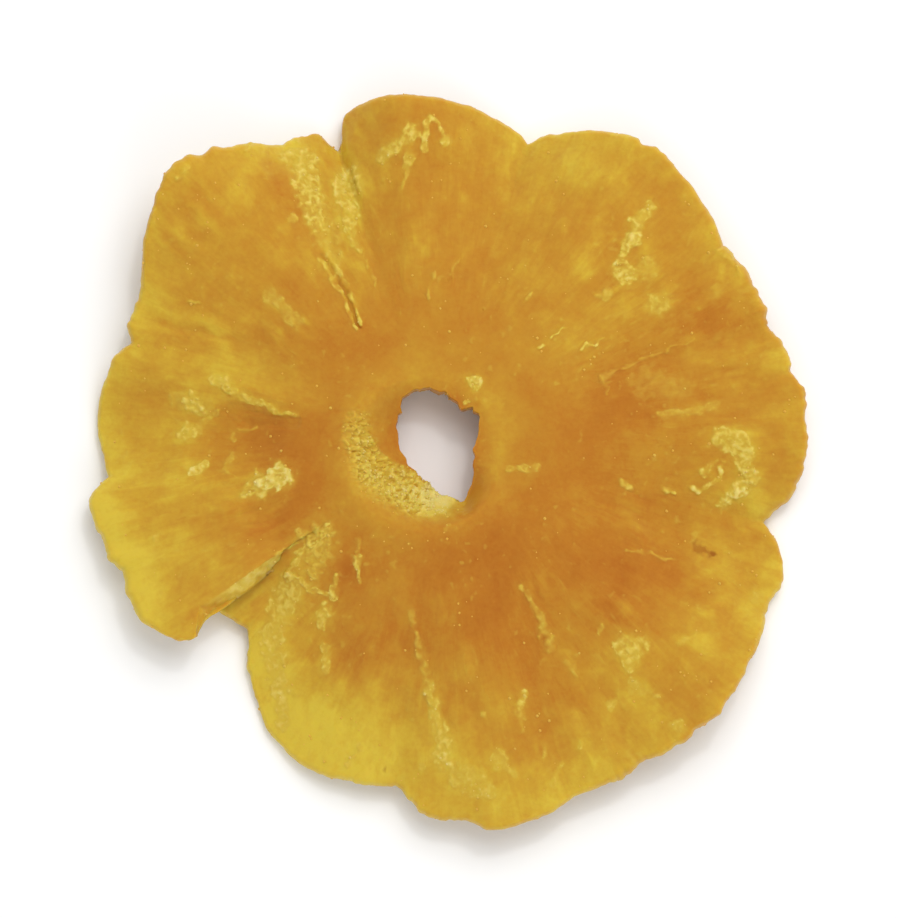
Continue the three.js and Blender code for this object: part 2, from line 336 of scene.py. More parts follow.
def top_height(bearing, radius):
    """The flesh from above, with its collar and creases, and nowhere under the least thickness."""
    height = middle_height(bearing, radius) + thickness(bearing, radius) / 2 + swelling(bearing, radius, 0)
    creased = height + collar(bearing, radius) - crease_depth(bearing, radius) - slump(bearing, radius)
    return np.maximum(creased, underside_height(bearing, radius) + LEAST_THICKNESS)


print("top from the collar out, mm:", top_height(CROWN_OF_A_LOBE, way_out).round(1))

# %% [markdown]
# ## The tear
# The flesh ripped along a spoke. One lip, the flap, lifted and slid over the other, which sank and tucked
# under it. Near the tear the skin is turned a little round the hole: the lower lip to lie under the flap,
# and the flap to reach over it.

# %% The lips of the tear: reaches as turns in degrees, starts and ends as radii in millimetres
TEAR_GAP = 0.3
LIP_UNDER_FACE = -1.3  # the web of fibres hides the gap, so the lip starts under the flap's face
TUCK_REACH = 3.2
LIP_SPREAD = 15  # the turn fades out over this bearing on either side of the tear
TORN_FACE_SLOPE = 1.1
FACE_WIDENS_START, FACE_WIDENS_FULL = 18, 22
FLAP_REACH = 2.0
FLAP_CORNER_START, FLAP_CORNER_END, FLAP_CORNER_REACH = 30.5, 34, 3.0
FLAP_BITE_RADIUS, FLAP_BITE_WIDTH, FLAP_BITE_DEPTH = 31.8, 1.3, 0.6


def lip_turn(radius, from_start, side):
    """How far the flesh beside the tear turns from its own bearing: side 0 is the top, 1 the underside."""
    opened = rise(radius, TEAR_START, TEAR_START + TEAR_OPENS)
    over = rise(radius, TEAR_OVERLAP_START, TEAR_OVERLAP_FULL)
    lower_lip = opened * mix(LIP_UNDER_FACE, -TUCK_REACH, over)
    widened = rise(radius, FACE_WIDENS_START, FACE_WIDENS_FULL)
    face = mix(-TORN_FACE_SLOPE, mix(-TEAR_GAP, FLAP_REACH, widened), side)
    bite = FLAP_BITE_DEPTH * bell(radius - FLAP_BITE_RADIUS, FLAP_BITE_WIDTH)
    to_corner = rise(radius, FLAP_CORNER_START, FLAP_CORNER_END)
    flap_lip = opened * mix(face, FLAP_CORNER_REACH, to_corner) - bite
    near_lower = np.maximum(0, 1 - from_start / LIP_SPREAD)
    near_flap = np.maximum(0, 1 - (360 - from_start) / LIP_SPREAD)
    return lower_lip * near_lower + flap_lip * near_flap


print("the lower lip turns, degrees:", lip_turn(way_out, 0, 0).round(1))

# %% [markdown]
# ## Noise
# Nothing on dried fruit repeats, so every small form is steered by noise. This is gradient noise written
# with arrays: a seeded random arrow stands at each corner of a grid, and a point blends the arrows round
# it. Stretching the grid along the radius turns round blotches into fibres.

# %% Gradient noise
ARROWS = 256  # different arrows, which are reused all over the grid
LIVELINESS = 1.6  # brings the noise's usual range to about -1 to 1


def noise(points, seed):
    """Smooth random values from about -1 to 1 that change over a distance of 1."""
    dice = np.random.default_rng(seed)
    shuffled = dice.permutation(ARROWS)
    arrows = dice.normal(size=(ARROWS, 3))
    arrows /= np.linalg.norm(arrows, axis=1, keepdims=True)
    cell = np.floor(points).astype(int)
    inside = points - cell
    eased = inside**3 * (inside * (inside * 6 - 15) + 10)  # level at both ends, so no cell shows
    total = np.zeros(points.shape[:-1])
    for corner in itertools.product((0, 1), repeat=3):
        x, y, z = np.moveaxis((cell + corner) % ARROWS, -1, 0)
        arrow = arrows[shuffled[(shuffled[(shuffled[x] + y) % ARROWS] + z) % ARROWS]]
        share = np.prod(np.where(corner, eased, 1 - eased), axis=-1)
        total += share * np.sum(arrow * (inside - corner), axis=-1)
    return LIVELINESS * total


def round_noise(skin, size, seed):
    """Blotches about so many millimetres across."""
    return noise(skin["point"] / size, seed)


def layered_noise(skin, layers, seed):
    """Blotches of several sizes on top of each other. Each layer is a strength and a size."""
    return sum(
        strength * round_noise(skin, size, seed + number) for number, (strength, size) in enumerate(layers)
    )


def fibre_noise(skin, width, length, seed):
    """Streaks along the radius, so many millimetres wide halfway out, and so long."""
    spread = BELLY_RADIUS / width
    angle = np.radians(skin["angle"]) + skin["meander"]
    places = np.stack([np.cos(angle) * spread, np.sin(angle) * spread, skin["along"] / length], axis=-1)
    return noise(places, seed)


sample = noise(np.random.default_rng(0).uniform(0, 50, (10_000, 3)), 1)
print("noise from", sample.min().round(2), "to", sample.max().round(2))

# %% [markdown]
# ## One closed skin
# The skin is a grid of columns and rows. A column is a loop round the cross section: out over the top,
# round the rim, back underneath, and up the wall of the hole. The columns start at one lip of the tear and
# end at the other. Inside the tear's start the last column shares the first one's points.

# %% The ragged outlines of the skin
COLUMNS = 1400
RIM_ROUND = 0.7
RIM_TEETH = ((6.0, 0.26), (2.3, 0.17), (0.8, 0.08))  # size of the teeth and how far they reach
HOLE_TEETH = ((1.8, 0.25), (0.7, 0.22))
CALM_TEETH, RAGGED_TEETH = 0.3, 1.6  # shares of that reach
CALM_STRETCH = 9  # the teeth come and go over this distance
CALM_BELOW, RAGGED_ABOVE = -0.4, 0.5  # values of the noise that makes them come and go

bearing = TEAR_BEARING + 360 * np.arange(COLUMNS + 1) / COLUMNS


def uneven(radius, teeth, seed):
    """How far small uneven teeth stand out of a closed outline."""
    circle = np.stack([np.cos(np.radians(bearing)), np.sin(np.radians(bearing)), 0 * bearing], axis=-1)
    outline = circle * radius[:, None]
    ragged = rise(noise(outline / CALM_STRETCH, seed + 9), CALM_BELOW, RAGGED_ABOVE)
    layers = (reach * noise(outline / size, seed + number) for number, (size, reach) in enumerate(teeth))
    return mix(CALM_TEETH, RAGGED_TEETH, ragged) * sum(layers)


rim_teeth = uneven(rim_radius(bearing), RIM_TEETH, 11)
rim = rim_radius(bearing) + rim_teeth
hole = hole_radius(bearing) + uneven(hole_radius(bearing), HOLE_TEETH, 21)
hole = hole + dented(bearing, HOLE_NICKS)
edge = rim - RIM_ROUND
print("columns stand", round(2 * math.pi * float(rim.mean()) / COLUMNS, 2), "mm apart at the rim")

# %% The rows of the skin
TOP_ROWS = 120  # from the tear's start to the rim
RIM_ROWS = 11
INNER_TOP_ROWS = 84  # from the hole to the tear's start
WALL_ROWS = 14
INNER_UNDER_ROWS = 24
WALL_BULGE = 0.35
WALL_HEIGHT = 3  # about: it counts only in the measure along the skin
HOLE_UNDERSIDE_FLARE = 0.7


def section(radius, over, under, level, along):
    """One stretch of rows. Level is 1 on top and 0 underneath, and along measures the way over the skin."""
    values = {"radius": radius, "over": over, "under": under, "level": level, "along": along}
    shape = np.broadcast_shapes(*(np.shape(value) for value in values.values()))
    return {name: np.broadcast_to(value, shape) for name, value in values.items()}


def shares(steps, first=0, last=0):
    """Even steps from 0 to 1 as a column of numbers, leaving out so many at each end."""
    return (np.arange(first, steps + 1 - last) / steps)[:, None]


def skin_sections():
    """The loop of the cross section, from the tear's start out over the rim and back through the hole."""
    out = mix(TEAR_START, edge, shares(TOP_ROWS))
    back = out[:0:-1]
    lean = np.cos(np.pi * shares(RIM_ROWS + 1, 1, 1))
    rounded = edge + RIM_ROUND * np.sqrt(1 - lean**2)
    around = rim + 2 * RIM_ROUND
    inner_back = mix(TEAR_START, hole + HOLE_UNDERSIDE_FLARE, shares(INNER_UNDER_ROWS))
    up = shares(WALL_ROWS, 1, 1)
    wall = hole + HOLE_UNDERSIDE_FLARE * (1 - up) - WALL_BULGE * np.sin(np.pi * up)
    inner_out = mix(hole, TEAR_START, shares(INNER_TOP_ROWS, 0, 1))
    return [
        section(out, out, out, 1, out),
        section(rounded, edge, edge, (lean + 1) / 2, edge + (1 - lean) * RIM_ROUND),
        section(back, back, back, 0, around + edge - back),
        section(inner_back, inner_back, inner_back, 0, around + edge - inner_back),
        section(wall, hole, hole + HOLE_UNDERSIDE_FLARE, up, around + edge - hole + WALL_HEIGHT * up),
        section(inner_out, inner_out, inner_out, 1, inner_out),
    ]


def stack_sections(sections):
    """All the sections' rows in one grid for each value."""
    return {name: np.concatenate([part[name] for part in sections]) for name in sections[0]}


sections = skin_sections()
print("rows in each stretch:", [len(part["radius"]) for part in sections])


# %% The points of the skin
def place_points(skin):
    """Adds each point's bearing, angle and place, before any fine relief."""
    around = np.broadcast_to(bearing, skin["radius"].shape)
    skin["bearing"] = around
    skin["teeth"] = np.broadcast_to(rim_teeth, skin["radius"].shape)
    skin["angle"] = around + lip_turn(skin["radius"], around - TEAR_BEARING, 1 - skin["level"])
    height = mix(underside_height(around, skin["under"]), top_height(around, skin["over"]), skin["level"])
    angle = np.radians(skin["angle"])
    flat = skin["radius"][..., None] * np.stack([np.cos(angle), np.sin(angle)], axis=-1) + HOLE_MIDDLE
    skin["point"] = np.concatenate([flat, height[..., None]], axis=-1)
    return skin


def across(rows, columns):
    """Unit vectors square to the surface, from the ways along rows and columns."""
    normal = np.cross(rows, columns)
    return normal / np.maximum(np.linalg.norm(normal, axis=-1, keepdims=True), TINY)


skin = place_points(stack_sections(sections))
row_way = np.roll(skin["point"], -1, axis=0) - np.roll(skin["point"], 1, axis=0)
skin["normal"] = across(row_way, np.gradient(skin["point"], axis=1))
print("rows and columns of the skin:", skin["radius"].shape)

# %% [markdown]
# The two torn faces close the skin where the flesh ripped. Each joins the top edge of one lip to its bottom
# edge, with rows between them for the ragged fibres. Both faces meet at the tear's inner end.

# %% Torn faces
TORN_FACE_ROWS = 9

last_outer = TOP_ROWS + RIM_ROWS + TOP_ROWS  # rows 1 to this one stand apart on the two sides of the tear
tip_row = (last_outer + 1) // 2


def torn_face(column):
    """Points between a lip's top and bottom edges, from the tear's start out to the rim."""
    upper, lower = np.arange(tip_row), last_outer + 1 - np.arange(tip_row)
    face = {}
    for name, values in skin.items():
        share = shares(TORN_FACE_ROWS + 1, 1, 1).reshape(1, -1, *[1] * (values.ndim - 2))
        face[name] = mix(values[upper, column][:, None], values[lower, column][:, None], share)
    return face


def flat_list(name):
    """A value at every point: the grid's, then the two torn faces'."""
    parts = (skin[name], *(face[name] for face in torn_faces))
    return np.concatenate([values.reshape(-1, *values.shape[2:]) for values in parts])


torn_faces = [torn_face(0), torn_face(COLUMNS)]
for face, outward_sign in zip(torn_faces, (1, -1)):
    ways = np.gradient(face["point"], axis=0), np.gradient(face["point"], axis=1)
    face["normal"] = outward_sign * across(ways[1], ways[0])
    face["torn"] = np.ones(face["radius"].shape)
skin["torn"] = np.zeros(skin["radius"].shape)
whole = {name: flat_list(name) for name in skin}
print("points before they are joined:", len(whole["radius"]))

# %% Which points make a face
grid_ids = np.arange(skin["radius"].size).reshape(skin["radius"].shape)
shared_rows = np.r_[0, last_outer + 1 : len(grid_ids)]
grid_ids[shared_rows, -1] = grid_ids[shared_rows, 0]
face_size = tip_row * TORN_FACE_ROWS
face_grid = np.arange(face_size).reshape(tip_row, -1)
face_ids = [grid_ids.size + number * face_size + face_grid for number in (0, 1)]
face_ids[1][0] = face_ids[0][0]  # the inner end belongs to both faces


def grid_quads(ids):
    """Quads between neighbouring rows and columns of a grid of point numbers."""
    return np.stack([ids[:-1, :-1], ids[1:, :-1], ids[1:, 1:], ids[:-1, 1:]], axis=-1).reshape(-1, 4)


def skin_faces():
    """The quads of the grid and the torn faces, and the triangles that close the faces at the rim."""
    loop = np.concatenate([grid_ids, grid_ids[:1]])
    quads, triangles = [grid_quads(loop)], []
    for column, ids, flip in ((0, face_ids[0], False), (COLUMNS, face_ids[1], True)):
        upper = grid_ids[:tip_row, column][:, None]
        lower = grid_ids[last_outer + 1 - np.arange(tip_row), column][:, None]
        sheet = np.concatenate([upper, ids, lower], axis=1)
        tip = np.full(sheet.shape[1] - 1, grid_ids[tip_row, column])
        face = grid_quads(sheet.T)
        cap = np.stack([sheet[-1, :-1], sheet[-1, 1:], tip], axis=-1)
        quads.append(face[:, ::-1] if flip else face)
        triangles.append(cap[:, ::-1] if flip else cap)
    return np.concatenate(quads), np.concatenate(triangles)


quads, triangles = skin_faces()
print("quads:", len(quads), "triangles:", len(triangles))

# %% [markdown]
# ## Strokes: fibres, crusts and grooves, listed one by one
# The marks that make this ring itself are laid one by one, as a sculptor would: each is a path of
# (bearing, radius) places with a width, a height and a paleness. A raised fibre is a narrow stroke and a
# crust is a wide one. Noise frays their edges, so that no two look alike.

# %% The strokes
# Width mm, height mm, paleness (1 is pale, more is almost white), then the path.
CRUSTS = [
    # bearings 85 to 125
    (3.6, 0.3, 0.85, (115.4, 35), (116.8, 31.8), (118.4, 27.5)),
    (2.9, 0.3, 0.85, (108.6, 31), (110, 28), (112.4, 25.6)),
    (1.0, 0.25, 0.7, (112, 25.6), (112, 22.8)),
    (4.5, 0.1, 0.15, (113, 31), (114, 25.5)),
    (3.4, 0.1, 0.5, (117.3, 29), (117.6, 26), (119, 23.2)),
    (2.0, 0.1, 0.4, (113.5, 27.5), (116, 24.5)),
    (1.1, 0.25, 0.6, (122.7, 29.3)),
    (1.9, 0.25, 0.85, (95.3, 34.2), (98, 33), (101.7, 32.1)),
    (0.8, 0.35, 0.8, (92.7, 32.2), (92.3, 35), (91, 36), (89.6, 35.3), (88.2, 33.1)),
    (1.1, 0.25, 0.7, (95.7, 31.7), (96.6, 30.2)),
    (0.6, 0.2, 0.5, (96.6, 30.2), (98, 28)),
    # 135 to 200, with the left of the collar
    (1.9, 0.2, 0.55, (138.4, 24), (139.5, 19.8)),
    (1.5, 0.3, 0.85, (163.8, 24.8), (165.4, 22.8)),
    # the ridge's lip: a raised line, paler as a painted highlight along it
    (0.8, 0.3, 0.7, (164.8, 24), (166.3, 21.8), (167.2, 19.8), (168.5, 18), (169.2, 15.8)),
    (2.0, 0.25, 0.9, (170.6, 27), (172.6, 25.8)),
    (1.9, 0.25, 0.85, (177, 27.6)),
    (0.8, 0.25, 0.6, (178.3, 22.3)),
    (1.4, 0.3, 1.0, (186.4, 26.7), (184.6, 25.2)),
    (3.2, 0.3, 1.25, (192.2, 17.6), (193, 19.3)),
    (2.6, 0.3, 0.85, (193.2, 19.5), (195, 21.6)),
    (2.2, 0.2, 0.4, (171, 26), (170, 29.5)),
    (0.9, 0.2, 0.5, (176, 26.2), (171.5, 24.2)),
    (0.5, 0.2, 0.5, (182, 22.4), (187, 23.4), (190, 22.2)),
    (1.0, 0.2, 0.6, (199, 32.2)),
    # 215 to 245, on the lip under the flap
    (3.0, 0.15, 0.75, (224, 22.5), (226.5, 24.7), (229, 27.3), (233.5, 29.6), (237, 31.8), (241, 34.6)),
    (1.7, 0.3, 0.8, (236, 22.1), (237.5, 23.4)),
    (1.4, 0.3, 0.75, (241, 25.3), (244, 27.6)),
    (4.2, 0.3, 0.6, (219.5, 17), (226, 19.3)),
    (4.6, 0.05, 0.22, (220.5, 17.4), (227, 20.4)),
    (0.9, 0.3, 0.75, (218, 15), (218.5, 19.5), (221.8, 21.8)),
    (0.8, 0.3, 0.8, (221.8, 21.8), (229, 21), (236.3, 20.2)),
    (0.8, 0.3, 0.75, (236.3, 20.2), (233, 18.2)),
    (0.6, 0.3, 0.7, (234, 15.2), (238, 16.4), (242, 17.6)),
    (0.6, 0.25, 0.5, (231, 13.6), (234, 15.2)),
    # 265 to 315
    (3.4, 0.25, 0.65, (274.5, 36.7), (278.5, 38.2)),
    (2.2, 0.3, 0.8, (271.6, 34.8), (270.4, 31.2), (268.8, 27.5)),
    (1.0, 0.25, 0.6, (289, 39), (291, 37.6)),
    (1.6, 0.2, 0.6, (281, 35), (283, 37)),
    (0.9, 0.25, 0.8, (288.6, 29.2), (287.4, 30.2)),
    (1.0, 0.25, 0.75, (294.9, 36.3)),
    (0.8, 0.25, 0.65, (289.4, 35.4), (288.4, 36)),
    (1.3, 0.25, 0.7, (310.1, 40.1), (309.3, 39.6)),
    (0.9, 0.25, 0.65, (303.7, 34), (302.6, 34.8)),
    (0.8, 0.25, 0.6, (311.6, 26.9), (310.4, 27.4)),
    (0.7, 0.2, 0.5, (279.8, 29.9)),
    (0.8, 0.25, 0.6, (267.5, 35.3)),
    (3.2, 0.3, 0.8, (313, 30.7), (310.8, 32)),
    (1.4, 0.2, 0.6, (309, 34), (311, 36.5)),
    (1.0, 0.2, 0.5, (286.7, 30.5), (287.5, 31.6)),
    # 330 to 20
    (1.4, 0.3, 0.55, (334.6, 38.7)),
    (2.2, 0.3, 0.85, (1, 30.8), (359.7, 33.4), (355.4, 33.8), (353.4, 34.8)),
    (2.2, 0.3, 0.9, (353.6, 34.4), (351.2, 32.9), (347.9, 32)),
    (1.6, 0.3, 1.25, (352.2, 33.7), (350.3, 32.8), (348.6, 31.8)),
    (3.2, 0.08, 0.3, (16, 23.5), (12.7, 27.5)),
    (1.2, 0.2, 0.5, (8, 30.6), (7, 27.5), (7.4, 24.5)),
    # 30 to 50
    (2.0, 0.3, 0.8, (46.4, 30.6), (47.6, 32.6), (48.1, 35)),
    (1.4, 0.3, 0.95, (46.6, 31), (44.9, 28.2)),
    (2.4, 0.3, 0.95, (42.2, 27.6)),
    (2.6, 0.2, 0.55, (40.4, 29.8)),
    (1.4, 0.3, 0.55, (41.4, 24.5)),
    (2.6, 0.15, 0.65, (32.2, 28.6)),
    # on the edge of the hole
    (1.5, 0.5, 1.0, (58, 7.9), (53, 7.2)),
    (0.7, 0.3, 0.8, (54, 5.3), (51, 5.5)),
    (0.9, 0.25, 0.6, (345.5, 11.2), (343, 9.6), (337, 8)),
]
FIBRES = [
    (0.7, 0.2, 0.65, (120, 24.5), (120.1, 19.3), (123.4, 15)),
    (0.7, 0.2, 0.65, (122.4, 24), (122.8, 19.3), (126.2, 15)),
    (0.5, 0.2, 0.6, (215.3, 21.5), (215.4, 18), (215.7, 15.2)),
    (0.4, 0.2, 0.4, (111, 21.5), (111, 18.4)),
    (0.4, 0.2, 0.4, (82.8, 20.6), (84.5, 17.7)),
    (0.4, 0.2, 0.5, (175.5, 21.6), (174.5, 19.8)),
    (1.4, 0.2, 0.5, (269, 28.3), (266.2, 24.1), (261.3, 18.6)),
    (1.3, 0.2, 0.5, (298.8, 24.3), (299.8, 21.9), (300.5, 18.1)),
    (1.4, 0.2, 0.5, (298.8, 24.3), (299.7, 27), (300.6, 29.6)),
    (0.5, 0.2, 0.45, (320, 33.9), (324.4, 35.1)),
    (0.4, 0.25, 0.45, (330.7, 23.7), (332.7, 26.1), (334.9, 29)),
    (0.9, 0.3, 0.75, (347.8, 20.8), (347.1, 22.4)),
    (0.7, 0.3, 0.7, (348.5, 25.1), (348.3, 26.5)),
    (0.7, 0.3, 0.95, (349.6, 27.7), (350.9, 29.7), (353.1, 30.8), (356.4, 31.5)),
    (0.7, 0.3, 0.95, (354, 29.1), (356.3, 30.7)),
    (0.5, 0.2, 0.4, (91, 18.6), (93.3, 15.8)),
    (0.6, 0.25, 0.5, (340, 33.6), (339.6, 34.8)),
    (0.45, 0.25, 0.35, (21.6, 19.2), (22.4, 24), (21.8, 30.1)),
    (0.45, 0.25, 0.4, (21.6, 19.2), (18.5, 19.6), (15.2, 19.1)),
    (0.35, 0.2, 0.35, (18.6, 21.2), (16.4, 20.6)),
    (0.4, 0.3, 0.8, (42.9, 15.2), (41, 16.2), (43.4, 17.2), (42.6, 18.6)),
    (0.4, 0.3, 0.8, (32.5, 18.7), (34, 19.6), (31.4, 20.2), (32.3, 21.2)),
    (0.5, 0.25, 0.5, (58.6, 18.4), (58, 19.5)),
    (0.5, 0.25, 0.6, (123.3, 38.4), (121.5, 38.6)),
    (0.6, 0.3, 0.6, (132.8, 40.3), (135, 40)),
    (0.5, 0.25, 0.5, (141, 39.7), (142.5, 38.9)),
    (0.5, 0.25, 0.5, (150, 30.3), (151, 31.4)),
    (0.7, 0.3, 0.5, (34.2, 37.2), (31.6, 37.9), (29.2, 38.1)),
    (0.6, 0.25, 0.55, (254, 36.4), (256, 33.8)),
]
# Grooves: the paleness sets their halo, which dents the skin and is darkened as painted shade.
GROOVES = [
    (0.7, -0.25, 0.8, (121.2, 24.2), (121.4, 19.3), (124.8, 15)),
    (0.6, -0.1, 0.7, (108.2, 34.5), (107.5, 32), (107.3, 29)),
    (2.4, -0.2, 0.6, (170.5, 22.5), (172.5, 19), (172, 15.5)),
]
SMUDGES = [
    (1.0, -0.1, 0.55, (338.4, 30.4), (338.2, 32.4)),
    (0.8, -0.12, 0.9, (338.7, 32.5)),
    (0.6, -0.15, 0.4, (261, 35.7)),
]
print("crusts:", len(CRUSTS), "fibres:", len(FIBRES), "grooves:", len(GROOVES), "smudges:", len(SMUDGES))

# %% How near each point is to a stroke
HALO_WIDTH = 1.0  # how far from its path a stroke still lightens the flesh, in widths
STROKE_TAPER = 0.5  # how much of its width a stroke has lost at its end
STROKE_MARGIN = 1  # a frayed stroke may stray this far, in mm, outside the box round its halo
# Depths inside a stroke's outline, in half widths.
BODY_STARTS, BODY_FULL = -0.15, 0.45
LIP_DEPTH, LIP_WIDTH = 0.15, 0.22
HALO_FULL = 0.6


def to_flat(places):
    """Places given as bearing and radius, as x and y."""
    angles, radii = np.radians([at for at, _ in places]), np.array([radius for _, radius in places])
    return np.stack([np.cos(angles) * radii, np.sin(angles) * radii], axis=-1) + HOLE_MIDDLE


def distance_to_path(flat, path):
    """Each point's distance to a path of straight pieces, and how far along the path that is, from 0 to 1."""
    nearest, along = np.full(len(flat), np.inf), np.zeros(len(flat))
    pieces = list(zip(path, path[1:])) or [(path[0], path[0])]
    for number, (start, end) in enumerate(pieces):
        way = end - start
        share = np.clip(((flat - start) @ way) / max(way @ way, TINY), 0, 1)
        distance = np.linalg.norm(flat - start - share[:, None] * way, axis=1)
        closer = distance < nearest
        nearest = np.where(closer, distance, nearest)
        along = np.where(closer, (number + share) / len(pieces), along)
    return nearest, along


def stroke_layer(skin, fray, strokes):
    """What strokes add to the top: body, lips and halo, each weighted by paleness, and height in mm."""
    body, lips, halo, height = np.zeros((4, len(skin["point"])))
    flat = skin["point"][:, :2] + skin["wander"]
    on_top = skin["level"] > 0.5
    for width, raised, paleness, *places in strokes:
        path = to_flat(places)
        low, high = path.min(0) - HALO_WIDTH * width, path.max(0) + HALO_WIDTH * width
        boxed = np.all((flat > low - STROKE_MARGIN) & (flat < high + STROKE_MARGIN), axis=1)
        near = np.flatnonzero(boxed & on_top)
        distance, along = distance_to_path(flat[near], path)
        depth = 1 - distance / (width / 2 * (1 - STROKE_TAPER * along))
        inside = rise(depth + fray[near], BODY_STARTS, BODY_FULL)
        edge = bell(depth + fray[near] - LIP_DEPTH, LIP_WIDTH)
        body[near] = np.maximum(body[near], paleness * inside)
        lips[near] = np.maximum(lips[near], paleness * edge)
        halo[near] = np.maximum(halo[near], paleness * rise(depth, 1 - 2 * HALO_WIDTH, HALO_FULL))
        height[near] = height[near] + raised * inside
    return SimpleNamespace(body=body, lips=lips, halo=halo, height=height)


beside, straight = np.array([[0.0, 1.0]]), np.array([[-1.0, 0.0], [1.0, 0.0]])
print("a point 1 mm beside a straight path is", distance_to_path(beside, straight)[0], "mm from it")

# %% [markdown]
# ## Fine relief and the fields that colour it
# Relief and colour come from the same fields, as on the real ring: a raised fibre is thin and dry, so it is
# also paler. A groove is painted darker, as painted shade in its hollow. Four fields are kept as
# attributes of the mesh for its materials and its crumbs: tone (0 deep orange, 1 bright yellow), crust,
# stain and sponge. Tone and crust also hold painted light and shade in a few places.

# %% Zones of lighter and darker flesh, a few of them painted light and shade
# Bearing, radius, reach along and across the radius in mm, and how far the tone shifts.
TONE_ZONES = [
    (192, 39, 5, 16, 0.38),
    (246, 33, 7, 9, 0.42),
    (254, 32, 6, 6, 0.2),
    (225, 31, 4, 4, 0.25),
    (330, 37, 6, 10, 0.15),
    (308, 36, 5, 1.6, 0.25),
    (64, 35, 7, 9, 0.17),
    (93, 36, 4, 8, -0.12),
    (270, 34, 6, 5, 0.22),
    (160, 22, 8, 3, 0.2),
    (150, 36, 5, 8, 0.1),
    (120, 37, 4, 5, 0.15),
    (356, 34, 6, 6, 0.12),
    (17, 21, 8, 4, -0.17),
    (208, 19, 5, 3, -0.2),
    (250, 27, 4, 4, -0.22),
    (357, 36, 5, 4, -0.25),
    (350, 6.8, 1.3, 4, 0.12),
    (45, 31, 6, 2.5, -0.15),
    (316, 28, 6, 4, -0.12),
    (10, 22, 6, 4, -0.16),
    (345, 22, 4, 3, -0.12),
    (195, 22.5, 3, 2.5, 0.14),
    (240, 14, 3, 3, -0.06),
    (45, 10, 3, 3, -0.12),
    (30, 18, 4, 3, -0.05),
    (285, 22, 4, 3, -0.1),
    (345, 33, 6, 3, -0.12),
    (270, 31, 5, 3, -0.1),
    (120.5, 32, 4, 2, -0.3),
    (360, 29, 4, 4, -0.1),
    (240, 34, 3, 2, 0.15),
    (75, 16, 5, 6, -0.17),
    (148, 12, 5, 8, -0.24),
    (138, 20, 5, 3.5, -0.14),
    (320, 24, 7, 4, -0.22),
    (255, 18, 4, 4, 0.14),
    (180, 32, 5, 4, 0.22),
    (105, 32, 4, 4, 0.15),
    (116.5, 25.5, 4, 2.5, 0.08),
    # beside the tear: painted shade on the lower lip under the flap's corner, then painted light that eases
    # the flap's shadow on the lip
    (220.5, 28.8, 1.8, 1.3, -0.1),
    (219.5, 25, 3, 1, 0.15),
    (135, 22, 5, 4, -0.07),
    (150, 18, 5, 3, -0.08),
    (285, 40, 4, 9, 0.25),
    # painted shade in the hollow under the ridge
    (177, 18.5, 5, 3.5, -0.15),
    (190, 15, 5, 5, -0.25),
    (200, 25, 7, 3, -0.12),
    (280, 13, 6, 8, -0.18),
    (310, 14, 6, 7, -0.2),
    (272, 20, 10, 9, -0.13),
    (250, 22, 6, 4, -0.1),
    (295, 24, 8, 5, -0.18),
    (340, 16, 8, 5, -0.12),
    (5, 18, 8, 5, -0.12),
    (27, 32, 6, 4, -0.3),
    (330, 27, 5, 3, -0.28),
    (140, 30, 8, 5, 0.12),
    (203, 32, 6, 8, 0.2),
    (90, 20, 9, 6, -0.06),
    (115, 16, 6, 4, -0.12),
    (236, 17, 2, 1.6, -0.35),
    (230, 16.5, 2.5, 1.5, -0.1),
]


def tone_zones(skin):
    """How far the zones shift the tone at each point."""
    angle, total = skin["angle"] % 360, 0
    for at, middle, along, aside, shift in TONE_ZONES:
        sideways = skin["radius"] * np.radians(turn(angle, at))
        total = total + shift * bell(skin["radius"] - middle, along) * bell(sideways, aside)
    return total


lightest, darkest = max(TONE_ZONES, key=lambda zone: zone[-1]), min(TONE_ZONES, key=lambda zone: zone[-1])
print("zones:", len(TONE_ZONES), "lightest at", lightest[:2], "darkest at", darkest[:2])

# %% The spongy crescent of the collar
# Bearing, inner radius, outer radius.
CRESCENT = [
    (146, 8.4, 8.6),
    (162, 7.6, 10.8),
    (181, 6.3, 10.8),
    (201, 5.0, 10.8),
    (218, 3.9, 10.1),
    (236, 3.7, 9.3),
    (257, 3.9, 9.0),
    (275, 4.6, 8.5),
    (292, 6.2, 7.8),
    (301, 6.9, 7.0),
]
CRESCENT_COMES, CRESCENT_GOES = (146, 175), (292, 303)  # bearings
CRESCENT_WOBBLE = ((0.5, 1.3), (0.3, 0.5))  # how far its edges wander, and over what distance
INNER_FADE, OUTER_FADE = (-0.2, 0.8), (-2.2, 0.7)  # from each edge, in mm
SMOOTH_TIP = (276, 16)  # bearing and reach: the crescent's tip is almost smooth
# bearing and reach where the sponge is paler: painted light on the slope of the collar that faces the light
PAINTED_LIGHT_ON_SPONGE_AT = (258, 38)


def crescent(skin):
    """1 on the rough pale part of the collar, 0 elsewhere."""
    at, inner, outer = np.array(CRESCENT).T
    angle = skin["angle"] % 360
    low, high = np.interp(angle, at, inner), np.interp(angle, at, outer)
    place = skin["radius"] + layered_noise(skin, CRESCENT_WOBBLE, 41)
    inner_side = rise(place, low + INNER_FADE[0], low + INNER_FADE[1])
    outer_side = rise(place, high + OUTER_FADE[0], high + OUTER_FADE[1])
    return inner_side * (1 - outer_side) * rise(angle, *CRESCENT_COMES) * (1 - rise(angle, *CRESCENT_GOES))


def near_bearing(skin, at, reach):
    """1 at a bearing, fading over a reach in degrees."""
    return bell(turn(skin["angle"], at), reach)


print("crescent at its widest, mm:", max(outer - inner for at, inner, outer in CRESCENT))

# %% [markdown]
# Each kind of roughness is a field of its own, with a name: broad swells, lumps, knobs and grains, wrinkles,
# pits and pebbles, and fibres of three widths. Relief, tone and crust are then sums of these fields, and
# tables say how much of each goes in. That keeps each recipe in one place, where it is easy to change.

